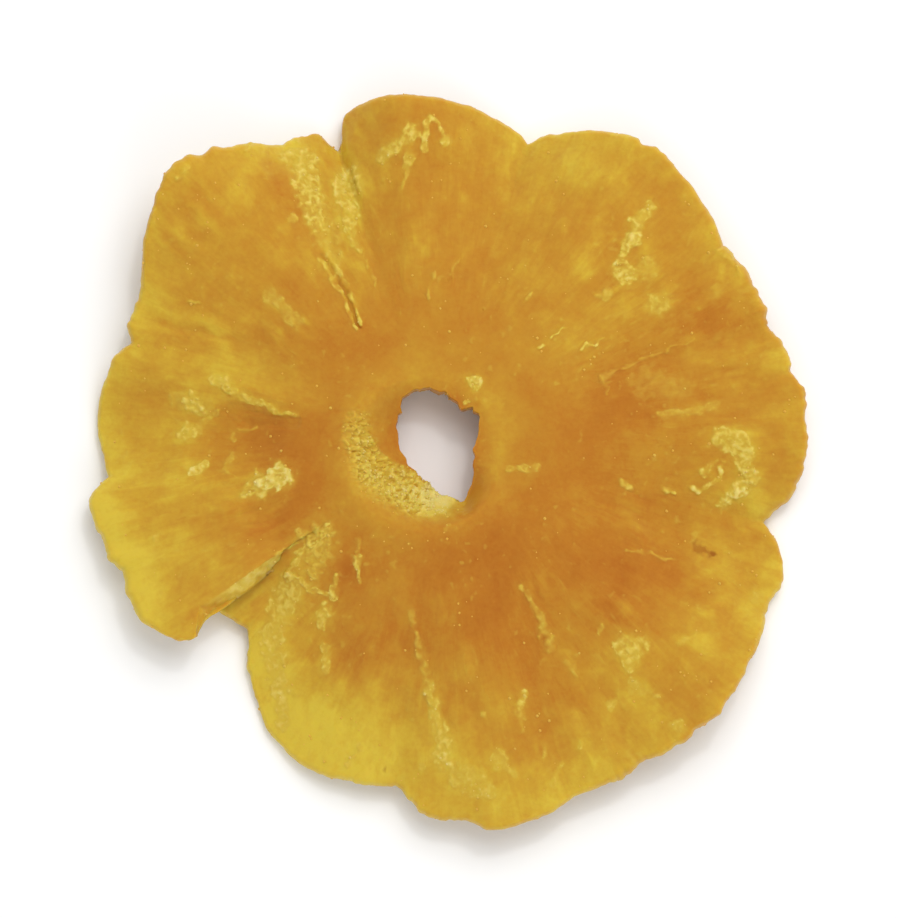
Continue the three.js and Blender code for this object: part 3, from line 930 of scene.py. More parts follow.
# %% Fields of noise
MEANDER = ((0.07, 11), (0.03, 3.5))  # how far fibres turn, in radians, and over what distance
WANDER = ((0.45, 1.9), (0.2, 0.7))  # how far strokes stray from their paths, in mm
ROUND_FIELDS = [  # name, size, seed
    ("broad", 12, 81), ("lumps", 4.5, 82), ("knobs", 2.0, 83), ("crumbly", 0.8, 61), ("grain", 0.4, 60),
    ("mottled", 1.3, 76), ("dappled", 0.6, 77),
]
FIBRE_FIELDS = [("coarse", 2.6, 10, 71), ("medium", 1.2, 7, 72), ("fine", 0.6, 4, 73)]  # width, length, seed
FIBRES_START, FIBRES_FULL = 12, 24  # radii
TOP_STARTS, TOP_FULL = 0.3, 0.8  # levels
PIT_SIZE = (1.0, 0.4, 0.6)  # short level dashes in the crescent
WRINKLE_WIDTH, WRINKLE_BEND, BEND_FINENESS = 0.3, 0.3, 2.3
KNOB_FINENESS = 1.9  # how many times smaller the knobs between the large ones are
LARGE_KNOBS, SMALL_KNOBS, SMALL_KNOB_HEIGHT = (-0.1, 0.5), (-0.05, 0.45), 0.6


def wrinkles(skin, size, seed):
    """Thin raised lines, 1 on their crests: where the noise passes through nought."""
    bent = layered_noise(skin, ((1, size), (WRINKLE_BEND, size / BEND_FINENESS)), seed)
    return np.clip(1 - np.abs(bent) / WRINKLE_WIDTH, 0, 1)


def nodules(skin, size, seed):
    """Rounded knobs that stand apart, with smaller ones between them."""
    large, small = round_noise(skin, size, seed), round_noise(skin, size / KNOB_FINENESS, seed + 1)
    return np.maximum(rise(large, *LARGE_KNOBS), SMALL_KNOB_HEIGHT * rise(small, *SMALL_KNOBS))


def noise_fields(skin):
    """The fields by name. Even is 1 everywhere, for the part of a sum that doesn't vary."""
    skin["meander"] = layered_noise(skin, MEANDER, 31)
    skin["wander"] = np.stack([layered_noise(skin, WANDER, seed) for seed in (33, 35)], axis=-1)
    field = {name: round_noise(skin, size, seed) for name, size, seed in ROUND_FIELDS}
    field.update((name, fibre_noise(skin, *size)) for name, *size in FIBRE_FIELDS)
    field["even"], field["ridged"] = 1.0, np.abs(field["coarse"])
    field["wrinkled"] = wrinkles(skin, 1.0, 63)
    field["pebbled"], field["speckled"] = nodules(skin, 0.66, 65), nodules(skin, 0.62, 68)
    field["top"] = rise(skin["level"], TOP_STARTS, TOP_FULL)
    field["out"] = rise(skin["radius"], FIBRES_START, FIBRES_FULL)
    return field


field = noise_fields(whole)
print("fields of noise:", sorted(field))

# %% Fields that show only in patches
# A patch begins where its noise passes the first value, and is full at the second.
PATCHES = {
    "pits": (0.2, 0.55),
    "stringy": (-0.25, 0.5),
    "broken": (-0.7, 0.2),  # breaks thin fibres into stretches
    "streaks": (0.15, 0.8),  # short pale flecks along the radius
    "dashes": (0.5, 0.9),
    "under_crust": (0.45, 0.85),
    "flecks": (0.5, 0.85),
}


def patch_fields(skin, field):
    """Adds the fields that come and go. Lumps and knobs sway where they do, so that patches gather there."""
    steering = {
        "pits": noise(skin["point"] / PIT_SIZE, 67),
        "stringy": round_noise(skin, 8, 74) + 0.4 * field["lumps"],
        "broken": field["crumbly"] + 0.5 * field["knobs"],
        "streaks": fibre_noise(skin, 0.9, 2.2, 75) + 0.5 * field["lumps"],
        "dashes": fibre_noise(skin, 0.5, 2, 78) + 0.3 * field["broad"],
        "under_crust": layered_noise(skin, ((1, 6), (0.6, 1.6)), 91),
        "flecks": layered_noise(skin, ((1, 0.7), (0.3, 7)), 93),
    }
    field.update((name, rise(value, *PATCHES[name])) for name, value in steering.items())
    for name in ("stringy", "dashes"):
        field[name] = field[name] * field["out"]
    field["under_crust"] = field["under_crust"] * (1 - field["top"])
    field["sponge"] = crescent(skin) * field["top"]


patch_fields(whole, field)
covered = {name: round(float(np.mean(field[name] > 0.5)), 2) for name in (*PATCHES, "sponge")}
print("share of the skin under each:", covered)

# %% Strokes on the skin
FRAY = {"crumbly": 0.5, "grain": 0.4, "knobs": 0.3}
CRUST_FRAY, FIBRE_FRAY, GROOVE_FRAY = 0.6, 0.9, 0.5  # a smudge takes all of it


def weighted(field, weights):
    """A sum of fields, each times its weight."""
    return sum(weight * field[name] for name, weight in weights.items())


def stroke_fields(skin, field):
    """Adds what the crusts, fibres, grooves and smudges bring."""
    fray = weighted(field, FRAY)
    crusts = stroke_layer(skin, CRUST_FRAY * fray, CRUSTS)
    fibres = stroke_layer(skin, FIBRE_FRAY * fray, FIBRES)
    grooves = stroke_layer(skin, GROOVE_FRAY * fray, GROOVES)
    field.update(crust=crusts.body, lips=crusts.lips, crust_halo=crusts.halo, crust_height=crusts.height)
    field.update(fibre=fibres.body, fibre_halo=fibres.halo, fibre_height=fibres.height)
    field.update(dent=grooves.halo, dent_height=grooves.height)
    field["stain"] = stroke_layer(skin, fray, SMUDGES).body


stroke_fields(whole, field)
print("points under crusts:", int(np.sum(field["crust"] > 0.5)), "fibres:", int(np.sum(field["fibre"] > 0.5)))

# %% Relief
# Heights in mm, or shares of a stroke's own height.
FIBRE_RELIEF = {"ridged": 0.22, "medium": 0.11, "fine": 0.05}
FIBRE_SINK = -0.05  # brings the fibres' middle back to the skin
SWELL_RELIEF = {"broad": 0.25, "lumps": 0.2, "knobs": 0.06}
KNOB_RELIEF = 0.03
CRUST_RELIEF = {"even": 0.2, "speckled": 0.4, "grain": 0.1}
CRUST_LIP_RELIEF, CRUST_LIP_EVENNESS = 0.1, 0.3
THREAD_RELIEF = {"even": 0.2, "broken": 0.3, "crumbly": 0.3, "grain": 0.2}
GROOVE_RELIEF, GROOVE_HALO_RELIEF, STAIN_RELIEF = 0.6, -0.1, -0.1
SPONGE_RELIEF = {"pebbled": 0.3, "grain": 0.16, "pits": -0.18, "even": -0.08}
TIP_SMOOTHNESS = 0.7
UNDERSIDE_RELIEF = {"even": 0.1, "wrinkled": 0.12, "grain": 0.06}
FLECK_RELIEF, DASH_RELIEF = 0.04, 0.03
TORN_RELIEF = {"crumbly": 0.1, "grain": 0.08, "knobs": 0.25}
TEETH_RELIEF, TEETH_FADE = 0.9, 1.6  # the rim's teeth ruffle the skin this far in


def relief(skin, field):
    """How far each point stands out of the smooth skin, in mm."""
    to_rim = rim_radius(skin["bearing"]) - skin["radius"]
    rough_sponge = field["sponge"] * (1 - TIP_SMOOTHNESS * near_bearing(skin, *SMOOTH_TIP))
    return sum([
        field["stringy"] * weighted(field, FIBRE_RELIEF),
        FIBRE_SINK,
        field["out"] * weighted(field, SWELL_RELIEF),
        KNOB_RELIEF * field["knobs"],
        field["crust_height"] * weighted(field, CRUST_RELIEF),
        CRUST_LIP_RELIEF * field["lips"] * (CRUST_LIP_EVENNESS + field["crumbly"]),
        field["fibre_height"] * weighted(field, THREAD_RELIEF),
        GROOVE_RELIEF * field["dent_height"],
        GROOVE_HALO_RELIEF * field["dent"],
        STAIN_RELIEF * field["stain"],
        rough_sponge * weighted(field, SPONGE_RELIEF),
        field["under_crust"] * weighted(field, UNDERSIDE_RELIEF),
        FLECK_RELIEF * field["flecks"],
        DASH_RELIEF * field["dashes"],
        skin["torn"] * weighted(field, TORN_RELIEF),
        TEETH_RELIEF * skin["teeth"] * bell(to_rim, TEETH_FADE),
    ])


height = relief(whole, field)
print("relief, mm:", height.min().round(2), "to", height.max().round(2))

# %% Tone
MIDDLE_TONE = 0.5
ROUND_TONES = {"broad": 0.09, "lumps": 0.09, "knobs": 0.06, "crumbly": 0.04}
FIBRE_TONES = {"coarse": 0.17, "medium": 0.1, "fine": 0.05}
STREAK_TONE, STREAKS_NEAR_COLLAR = 0.14, 0.4
# dent darkens the grooves and their halos: painted shade
FINE_TONES = {"mottled": 0.07, "dappled": 0.08, "dashes": 0.06, "dent": -0.12}
THIN_RIM_TONE, THIN_RIM_WIDTH = 0.16, 2.5
HALO_TONES = {"crust_halo": 0.25, "fibre_halo": 0.15}
CREST_TONE, CREST_TONE_WIDTH, SPONGE_TONE = 0.12, 2.6, 0.2
CORE_TONE, CORE_TONE_FULL, CORE_TONE_ENDS = -0.22, 4.5, 7.5  # darker round the hole and down its wall: thick flesh, and painted shade in the hole


def tone(skin, field):
    """0 deep orange, 1 bright yellow: thin flesh is yellow and thick flesh orange, with painted shade in the
    grooves, the hole and some zones, and painted light beside the tear.
    """
    to_rim = rim_radius(skin["bearing"]) - skin["radius"]
    from_crest = skin["radius"] - crest_radius(skin["bearing"])
    core = 1 - rise(skin["radius"], CORE_TONE_FULL, CORE_TONE_ENDS)
    flecked = STREAKS_NEAR_COLLAR + (1 - STREAKS_NEAR_COLLAR) * field["out"]
    streaks = STREAK_TONE * field["streaks"] * flecked
    total = MIDDLE_TONE + tone_zones(skin) + weighted(field, ROUND_TONES)
    total = total + field["stringy"] * weighted(field, FIBRE_TONES) + streaks + weighted(field, FINE_TONES)
    total = total + THIN_RIM_TONE * bell(to_rim, THIN_RIM_WIDTH) + weighted(field, HALO_TONES)
    total = total + CREST_TONE * bell(from_crest, CREST_TONE_WIDTH) * field["top"]
    total = total + SPONGE_TONE * field["sponge"] + CORE_TONE * core * (1 - field["sponge"])
    return np.clip(total, 0, 1)


tones = tone(whole, field)
print("tones in the middle half:", np.quantile(tones, (0.25, 0.75)).round(2))

# %% Crust
CRUST_COVER = {"even": 0.42, "speckled": 0.44, "grain": 0.18, "crumbly": 0.16}
LIP_COVER = {"even": 0.55, "crumbly": 0.9}
CRUST_LIMITS, LIP_LIMITS = (0.12, 0.95), (0.05, 0.95)
THREAD_COVER = {"even": 0.6, "crumbly": 0.6, "grain": 0.4}
SPONGE_COVER = {"even": 0.58, "pebbled": 0.32, "grain": 0.3, "pits": -0.42}
# the sponge's crust away from the painted light, and how much the painted light adds at its bearing
SPONGE_AWAY_FROM_PAINTED_LIGHT, SPONGE_PAINTED_LIGHT_STRENGTH = 0.66, 0.34
UNDERSIDE_CRUST, UNDERSIDE_COVER = 0.7, {"even": 0.4, "wrinkled": 0.2, "speckled": 0.4}
FLECK_CRUST, DASH_CRUST = 0.3, 0.2
TORN_COVER = {"even": 0.64, "crumbly": 0.25}
# the torn face is pale only past the first radii; inside them it keeps the flesh's orange, as painted shade
# in the narrow tear
TORN_PALE_FROM, TORN_PALE_TO, TORN_DIMMED = (18.5, 22), (26.5, 31), 0.8  # radii, and how far it dims
TORN_FOOT_PAINTED_SHADE = (-0.1, 0.25)  # levels: the torn face keeps the flesh's orange at its foot, as painted shade under the flap


def crust(skin, field):
    """0 on moist flesh, 1 on a thick dry crust: the thickest of all that lies on a point. The sponge is also
    paler on the side of the collar that faces the light, which is painted light, and the torn face stays
    orange at its foot and inner end, which is painted shade.
    """
    dimmed = 1 - TORN_DIMMED * rise(skin["radius"], *TORN_PALE_TO)
    pale_stretch = rise(skin["radius"], *TORN_PALE_FROM) * dimmed
    sponge = mix(weighted(field, SPONGE_COVER), 1, near_bearing(skin, *SMOOTH_TIP))
    # painted light: the sponge is paler on the side of the collar that faces the light
    lit = SPONGE_AWAY_FROM_PAINTED_LIGHT + SPONGE_PAINTED_LIGHT_STRENGTH * near_bearing(skin, *PAINTED_LIGHT_ON_SPONGE_AT)
    thickest = np.maximum.reduce([
        field["crust"] * np.clip(weighted(field, CRUST_COVER), *CRUST_LIMITS),
        field["lips"] * np.clip(weighted(field, LIP_COVER), *LIP_LIMITS),
        field["fibre"] * field["broken"] * np.clip(weighted(field, THREAD_COVER), 0, 1),
        field["sponge"] * sponge * lit,
        UNDERSIDE_CRUST * field["under_crust"] * weighted(field, UNDERSIDE_COVER),
        FLECK_CRUST * field["flecks"],
        DASH_CRUST * field["dashes"],
        # the torn face's foot and inner end stay orange: painted shade
        skin["torn"] * pale_stretch * rise(skin["level"], *TORN_FOOT_PAINTED_SHADE) * weighted(field, TORN_COVER),
    ])
    return np.clip(thickest, 0, 1)


crusts = crust(whole, field)
print("share of the skin that is crusty:", round(float(np.mean(crusts > 0.3)), 2))

# %% Put the relief on the skin
points = whole["point"] + whole["normal"] * height[:, None]
points[:, 2] = np.maximum(points[:, 2], 0.0)
stains = np.clip(field["stain"], 0, 1)
# tone and crust also hold painted light and shade: beside the tear, in the grooves and the hole, and on the
# collar's sponge
attributes = {"tone": tones, "crust": crusts, "stain": stains, "sponge": field["sponge"]}
print("highest point above the floor, mm:", points[:, 2].max().round(2))

# %% [markdown]
# ## From points to a mesh
# The full grid has far more faces than a smooth stretch of flesh needs. Blender's Decimate modifier collapses
# edges where the surface is flat and keeps them where it is crumbly, which no even grid could do.

# %% Build the ring's mesh
RING_TRIANGLES = 190_000


def add_object(name, data):
    """An object in the scene, with this mesh, light or camera."""
    thing = bpy.data.objects.new(name, data)
    bpy.context.scene.collection.objects.link(thing)
    return thing


def mesh_object(name, points, faces):
    """A smooth-shaded mesh object from points in millimetres and arrays of faces."""
    used, renumbered = np.unique(np.concatenate([face.ravel() for face in faces]), return_inverse=True)
    mesh = bpy.data.meshes.new(name)
    mesh.vertices.add(len(used))
    mesh.vertices.foreach_set("co", (points[used] * MM).ravel())
    corners = np.concatenate([np.full(len(face), face.shape[1]) for face in faces])
    mesh.loops.add(len(renumbered))
    mesh.loops.foreach_set("vertex_index", renumbered.astype(np.int32))
    mesh.polygons.add(len(corners))
    mesh.polygons.foreach_set("loop_start", (np.cumsum(corners) - corners).astype(np.int32))
    mesh.update(calc_edges=True)
    mesh.shade_smooth()
    return add_object(name, mesh), used


def apply_modifiers(thing):
    """Turns what the modifiers make into the object's own plain mesh."""
    depsgraph = bpy.context.evaluated_depsgraph_get()
    result = bpy.data.meshes.new_from_object(thing.evaluated_get(depsgraph), depsgraph=depsgraph)
    thing.modifiers.clear()
    thing.data = result


def keep_above_floor(thing):
    """What reaches below the floor is flattened against it."""
    places = np.empty(3 * len(thing.data.vertices))
    thing.data.vertices.foreach_get("co", places)
    places[2::3] = np.maximum(places[2::3], 0)
    thing.data.vertices.foreach_set("co", places)
    thing.data.update()


ring, used = mesh_object("dried_pineapple_ring", points, [quads, triangles])
for name, values in attributes.items():
    attribute = ring.data.attributes.new(name, "FLOAT", "POINT")
    attribute.data.foreach_set("value", values[used].astype(np.float32))
thinner = ring.modifiers.new("fewer faces where it is smooth", "DECIMATE")
thinner.ratio = RING_TRIANGLES / (2 * len(quads) + len(triangles))
apply_modifiers(ring)
keep_above_floor(ring)
print("ring faces:", len(ring.data.polygons), "attributes:", [each.name for each in ring.data.attributes])

# %% [markdown]
# ## The flesh
# Dried flesh is a sugary gel with fibres in it, dried in moving air. Light goes in, turns orange on its way,
# and comes out again, so thin flesh looks yellow and thick flesh orange. The surface is tacky: half matt,
# with soft highlights. A Principled shader with random-walk subsurface does the glow, and a ramp turns the
# tone into colour.


# %% Colours and nodes
def colour(hex_code):
    """An sRGB hex colour as linear red, green, blue and alpha."""
    channels = np.array([int(hex_code[i : i + 2], 16) for i in (1, 3, 5)]) / 255
    linear = np.where(channels <= 0.04045, channels / 12.92, ((channels + 0.055) / 1.055) ** 2.4)
    return (*linear, 1.0)


def add_node(tree, kind, settings=(), inputs=()):
    """Adds a node with its settings. Its inputs, by name or number, are a socket to link or a value."""
    node = tree.nodes.new(kind)
    for name, value in dict(settings).items():
        setattr(node, name, value)
    for key, value in dict(inputs).items():
        if isinstance(value, bpy.types.NodeSocket):
            tree.links.new(value, node.inputs[key])
        else:
            node.inputs[key].default_value = value
    return node


def fill_ramp(elements, stops):
    """Gives a colour ramp its stops, each a position and a hex colour."""
    elements[0].position, elements[0].color = stops[0][0], colour(stops[0][1])
    elements[1].position, elements[1].color = stops[-1][0], colour(stops[-1][1])
    for position, code in stops[1:-1]:
        elements.new(position).color = colour(code)


def new_material(name, finish):
    """A material, its tree and its shader, with the finish set as values of the shader's sockets."""
    material = bpy.data.materials.new(name)
    material.use_nodes = True
    shader = material.node_tree.nodes["Principled BSDF"]
    for socket, value in finish.items():
        shader.inputs[socket].default_value = value
    return material, material.node_tree, shader


print("white is", colour("#ffffff"), "and middle grey", round(float(colour("#808080")[0]), 3))

# %% The finest fibres, too thin for the mesh
FINE_FIBRE_WIDTH, FINE_FIBRE_LENGTH = 0.7, 5  # mm
FINE_FIBRE_TONE = 0.25  # how far they shift the tone where fibres are full
STREAKINESS = {"Scale": 1.0, "Detail": 3.0, "Distortion": 1.2}


def from_hole(tree, place):
    """The level way from the hole's middle to a place."""
    middle = (*(HOLE_MIDDLE * MM), 0)
    way = add_node(tree, "ShaderNodeVectorMath", {"operation": "SUBTRACT"}, {0: place, 1: middle})
    levelled = {0: way.outputs[0], 1: (1, 1, 0)}
    return add_node(tree, "ShaderNodeVectorMath", {"operation": "MULTIPLY"}, levelled).outputs[0]


def spoke_noise(tree, place):
    """Noise drawn out along the radius: it changes quickly round the hole and slowly away from it."""
    flat = from_hole(tree, place)
    radius = add_node(tree, "ShaderNodeVectorMath", {"operation": "LENGTH"}, {0: flat}).outputs["Value"]
    spoke = add_node(tree, "ShaderNodeVectorMath", {"operation": "NORMALIZE"}, {0: flat}).outputs[0]
    spread = {0: spoke, "Scale": BELLY_RADIUS / FINE_FIBRE_WIDTH}
    around = add_node(tree, "ShaderNodeVectorMath", {"operation": "SCALE"}, spread).outputs[0]
    stretch = {0: radius, 1: FINE_FIBRE_LENGTH * MM}
    along = add_node(tree, "ShaderNodeMath", {"operation": "DIVIDE"}, stretch).outputs[0]
    lift = add_node(tree, "ShaderNodeCombineXYZ", inputs={"Z": along}).outputs[0]
    point = add_node(tree, "ShaderNodeVectorMath", {"operation": "ADD"}, {0: around, 1: lift}).outputs[0]
    streaks = add_node(tree, "ShaderNodeTexNoise", inputs={**STREAKINESS, "Vector": point}).outputs["Fac"]
    centred = add_node(tree, "ShaderNodeMath", {"operation": "SUBTRACT"}, {0: streaks, 1: 0.5}).outputs[0]
    outer = {"From Min": FIBRES_START * MM, "From Max": FIBRES_FULL * MM, "To Max": FINE_FIBRE_TONE}
    strength = add_node(tree, "ShaderNodeMapRange", inputs={**outer, "Value": radius}).outputs[0]
    return add_node(tree, "ShaderNodeMath", {"operation": "MULTIPLY"}, {0: centred, 1: strength}).outputs[0]


print("fine fibres round the ring halfway out:", round(2 * math.pi * BELLY_RADIUS / FINE_FIBRE_WIDTH))

# %% The flesh material
TONES = [(0.0, "#b0681c"), (0.25, "#ba7923"), (0.5, "#c28e2b"), (0.75, "#cba433"), (1.0, "#d5ba3f")]
CRUSTS_FROM_THIN_TO_THICK = [(0.0, "#c49c36"), (0.4, "#ccac40"), (0.65, "#d6bb50"), (1.0, "#e0cd78")]
CRUST_HIDES_FLESH = 0.6  # a crust at least this thick hides the flesh
STAIN_COLOUR = "#9c5a18"
GRAIN_SIZE, GRAIN_DEPTH, GRAIN_STRENGTH = 0.5, 0.12, 0.5  # mm, mm, and the share of that depth that shows
GRAIN_IN_TONE, GRAIN_IN_CRUST = 0.25, 0.5
MOIST_ROUGHNESS, CRUST_ROUGHNESS = 0.42, 0.2  # the crust's is added to the moist flesh's
FLESH_FINISH = {
    "Subsurface Weight": 0.5,
    "Subsurface Radius": (1.0, 0.55, 0.2),  # red light goes furthest, so thick flesh turns orange
    "Subsurface Scale": 1.2 * MM,
    "Specular IOR Level": 0.15,
    "Coat Weight": 0.1,  # the tacky film of sugar
    "Coat Roughness": 0.15,
}


def flesh_colour(tree, field, grain, streaks):
    """Tone and crust, each turned to colour by a ramp, then the stain on top."""
    grained = {}
    for name, share in (("tone", GRAIN_IN_TONE), ("crust", GRAIN_IN_CRUST)):
        more = {0: grain, 1: share, 2: field[name]}
        grained[name] = add_node(tree, "ShaderNodeMath", {"operation": "MULTIPLY_ADD"}, more).outputs[0]
    streaked = {0: grained["tone"], 1: streaks}
    streaked = add_node(tree, "ShaderNodeMath", {"operation": "ADD"}, streaked).outputs[0]
    moist = add_node(tree, "ShaderNodeValToRGB", inputs={0: streaked})
    fill_ramp(moist.color_ramp.elements, TONES)
    pale = add_node(tree, "ShaderNodeValToRGB", inputs={0: grained["crust"]})
    fill_ramp(pale.color_ramp.elements, CRUSTS_FROM_THIN_TO_THICK)
    hidden = {"From Max": CRUST_HIDES_FLESH, "Value": field["crust"]}
    share = add_node(tree, "ShaderNodeMapRange", inputs=hidden).outputs[0]
    layers = {0: share, 6: moist.outputs[0], 7: pale.outputs[0]}
    dry = add_node(tree, "ShaderNodeMix", {"data_type": "RGBA"}, layers).outputs[2]
    layers = {0: field["stain"], 6: dry, 7: colour(STAIN_COLOUR)}
    return add_node(tree, "ShaderNodeMix", {"data_type": "RGBA"}, layers).outputs[2]


def make_flesh():
    """Tacky dried fruit: glowing, half matt, grained, and drier and rougher where it is crusty."""
    material, tree, shader = new_material("dried_pineapple_flesh", FLESH_FINISH)
    place = add_node(tree, "ShaderNodeTexCoord").outputs["Object"]
    field = {
        name: add_node(tree, "ShaderNodeAttribute", {"attribute_name": name}).outputs["Fac"]
        for name in ("tone", "crust", "stain")
    }
    fineness = {"Scale": 1 / (GRAIN_SIZE * MM), "Detail": 3.0, "Vector": place}
    grain = add_node(tree, "ShaderNodeTexNoise", inputs=fineness).outputs["Fac"]
    grain = add_node(tree, "ShaderNodeMath", {"operation": "SUBTRACT"}, {0: grain, 1: 0.5}).outputs[0]
    tree.links.new(flesh_colour(tree, field, grain, spoke_noise(tree, place)), shader.inputs["Base Color"])
    drier = {0: field["crust"], 1: CRUST_ROUGHNESS, 2: MOIST_ROUGHNESS}
    rough = add_node(tree, "ShaderNodeMath", {"operation": "MULTIPLY_ADD"}, drier).outputs[0]
    tree.links.new(rough, shader.inputs["Roughness"])
    depth = {"Strength": GRAIN_STRENGTH, "Distance": GRAIN_DEPTH * MM, "Height": grain}
    bump = add_node(tree, "ShaderNodeBump", inputs=depth).outputs[0]
    tree.links.new(bump, shader.inputs["Normal"])
    return material


flesh = make_flesh()
ring.data.materials.clear()
ring.data.materials.append(flesh)
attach(ring, "root")
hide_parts("pineapple_ring")
print("flesh nodes:", len(flesh.node_tree.nodes))

# %% [markdown]
# ## Crumbs of dry pulp and sugar
# The spongy collar is covered in crumbs 0.15 to 0.4 mm across, and on the rest a few loose grains lie in
# clumps. They are too many to place by hand and each is real at its size, so Geometry Nodes scatter them:
# points on the skin, densest where it is both spongy and crusty, a small faceted stone on each, and noise
# that dents the stones.

# %% Sizes of the crumbs
CRUMBS_PER_MM2 = 8.0  # where sponge and crust are full
CRUST_CRUMBS = 0.12  # a crust elsewhere has this share of them
GRAINS_PER_MM2 = 0.06  # everywhere
CRUMB_RADII = (0.07, 0.2)
CRUMB_SPACING = 0.18
CLUMP_SIZE = 5  # the loose grains gather in clumps about this far apart
CLUMP_NOISE, CLUMP_DENSITY = (0.42, 0.7), (0.15, 5.0)  # nearly bare between clumps, crowded in them
DENT_SIZE, DENT_DEPTH = 0.16, 0.06
STONE_FACES = 20
CRUMB_SIZES = {
    "Most per area": CRUMBS_PER_MM2 / MM**2,
    "Least share": GRAINS_PER_MM2 / CRUMBS_PER_MM2,
    "Spacing": CRUMB_SPACING * MM,
    "Smallest": CRUMB_RADII[0] * MM,
    "Largest": CRUMB_RADII[1] * MM,
    "Clump size": CLUMP_SIZE * MM,
    "Dent size": DENT_SIZE * MM,
    "Dent depth": DENT_DEPTH * MM,
}


def new_tree(name, inputs):
    """A Geometry Nodes tree with named inputs, its group input node and its output node."""
    tree = bpy.data.node_groups.new(name, "GeometryNodeTree")
    tree.interface.new_socket("Geometry", in_out="INPUT", socket_type="NodeSocketGeometry")
    for label, kind in inputs.items():
        tree.interface.new_socket(label, in_out="INPUT", socket_type=f"NodeSocket{kind}")
    tree.interface.new_socket("Geometry", in_out="OUTPUT", socket_type="NodeSocketGeometry")
    return tree, add_node(tree, "NodeGroupInput").outputs, add_node(tree, "NodeGroupOutput")


def run_tree(name, mesh, tree, values):
    """A new object: what the tree makes of a mesh with these input values."""
    thing = add_object(name, mesh)
    modifier = thing.modifiers.new("scatter", "NODES")
    modifier.node_group = tree
    for socket in tree.interface.items_tree:
        if socket.in_out == "INPUT" and socket.name in values:
            modifier[socket.identifier] = values[socket.name]
    apply_modifiers(thing)
    return thing


print("crumbs, mm across:", [round(2 * radius, 2) for radius in CRUMB_RADII])


# %% The tree that scatters them
def crumb_density(tree, given):
    """The share of the most crumbs that a place gets."""
    number = {"data_type": "FLOAT"}
    sponge, crust = (
        add_node(tree, "GeometryNodeInputNamedAttribute", number, {"Name": name}).outputs[0]
        for name in ("sponge", "crust")
    )
    spongy, crusty = (
        add_node(tree, "ShaderNodeMath", {"operation": "MULTIPLY"}, {0: factor, 1: crust}).outputs[0]
        for factor in (sponge, CRUST_CRUMBS)
    )
    dry = add_node(tree, "ShaderNodeMath", {"operation": "ADD"}, {0: spongy, 1: crusty}).outputs[0]
    spread = {0: 1.0, 1: given["Clump size"]}
    spread = add_node(tree, "ShaderNodeMath", {"operation": "DIVIDE"}, spread).outputs[0]
    clumps = add_node(tree, "ShaderNodeTexNoise", inputs={"Detail": 2.0, "Scale": spread}).outputs["Fac"]
    names = ("From Min", "From Max", "To Min", "To Max")
    gathered = {**dict(zip(names, (*CLUMP_NOISE, *CLUMP_DENSITY))), "Value": clumps}
    gathered = add_node(tree, "ShaderNodeMapRange", inputs=gathered).outputs[0]
    loose = {0: given["Least share"], 1: gathered}
    loose = add_node(tree, "ShaderNodeMath", {"operation": "MULTIPLY"}, loose).outputs[0]
    return add_node(tree, "ShaderNodeMath", {"operation": "MAXIMUM"}, {0: dry, 1: loose}).outputs[0]


def crumb_stones(tree, given, points):
    """A faceted stone of a random size and turn on each point. Small ones are the most common."""
    dice = add_node(tree, "FunctionNodeRandomValue", {"data_type": "FLOAT"}, {"Seed": 8}).outputs[1]
    small = add_node(tree, "ShaderNodeMath", {"operation": "POWER"}, {0: dice, 1: 2.0}).outputs[0]
    sizes = {"Value": small, "To Min": given["Smallest"], "To Max": given["Largest"]}
    size = add_node(tree, "ShaderNodeMapRange", inputs=sizes).outputs[0]
    any_way = {1: (2 * math.pi,) * 3, "Seed": 9}
    spin = add_node(tree, "FunctionNodeRandomValue", {"data_type": "FLOAT_VECTOR"}, any_way).outputs[0]
    stone = add_node(tree, "GeometryNodeMeshIcoSphere", inputs={"Radius": 1.0, "Subdivisions": 1}).outputs[0]
    laid = {"Points": points, "Instance": stone, "Rotation": spin, "Scale": size}
    return add_node(tree, "GeometryNodeInstanceOnPoints", inputs=laid).outputs[0]


def dents(tree, given):
    """A small push in a direction that changes over the size of a dent."""
    fineness = {0: 1.0, 1: given["Dent size"]}
    fineness = add_node(tree, "ShaderNodeMath", {"operation": "DIVIDE"}, fineness).outputs[0]
    lumps = add_node(tree, "ShaderNodeTexNoise", inputs={"Detail": 0.0, "Scale": fineness}).outputs["Color"]
    centred = {0: lumps, 1: (0.5, 0.5, 0.5)}
    centred = add_node(tree, "ShaderNodeVectorMath", {"operation": "SUBTRACT"}, centred).outputs[0]
    scaled = {0: centred, "Scale": given["Dent depth"]}
    return add_node(tree, "ShaderNodeVectorMath", {"operation": "SCALE"}, scaled).outputs[0]


def crumb_tree():
    """Points on the skin, a stone on each, made real, dented, smoothed and given its material."""
    kinds = {**dict.fromkeys(CRUMB_SIZES, "Float"), "Material": "Material"}
    tree, given, made = new_tree("scatter_crumbs", kinds)
    scatter = {
        "Mesh": given["Geometry"],
        "Distance Min": given["Spacing"],
        "Density Max": given["Most per area"],
        "Density Factor": crumb_density(tree, given),
        "Seed": 7,
    }
    even = {"distribute_method": "POISSON"}
    points = add_node(tree, "GeometryNodeDistributePointsOnFaces", even, scatter).outputs[0]
    stones = crumb_stones(tree, given, points)
    real = add_node(tree, "GeometryNodeRealizeInstances", inputs={0: stones}).outputs[0]
    shove = {"Geometry": real, "Offset": dents(tree, given)}
    dented_stones = add_node(tree, "GeometryNodeSetPosition", inputs=shove).outputs[0]
    smooth = add_node(tree, "GeometryNodeSetShadeSmooth", inputs={0: dented_stones}).outputs[0]
    finish = {0: smooth, "Material": given["Material"]}
    finished = add_node(tree, "GeometryNodeSetMaterial", inputs=finish).outputs[0]
    tree.links.new(finished, made.inputs[0])
    return tree


scatter_crumbs = crumb_tree()
print("nodes that scatter the crumbs:", len(scatter_crumbs.nodes))

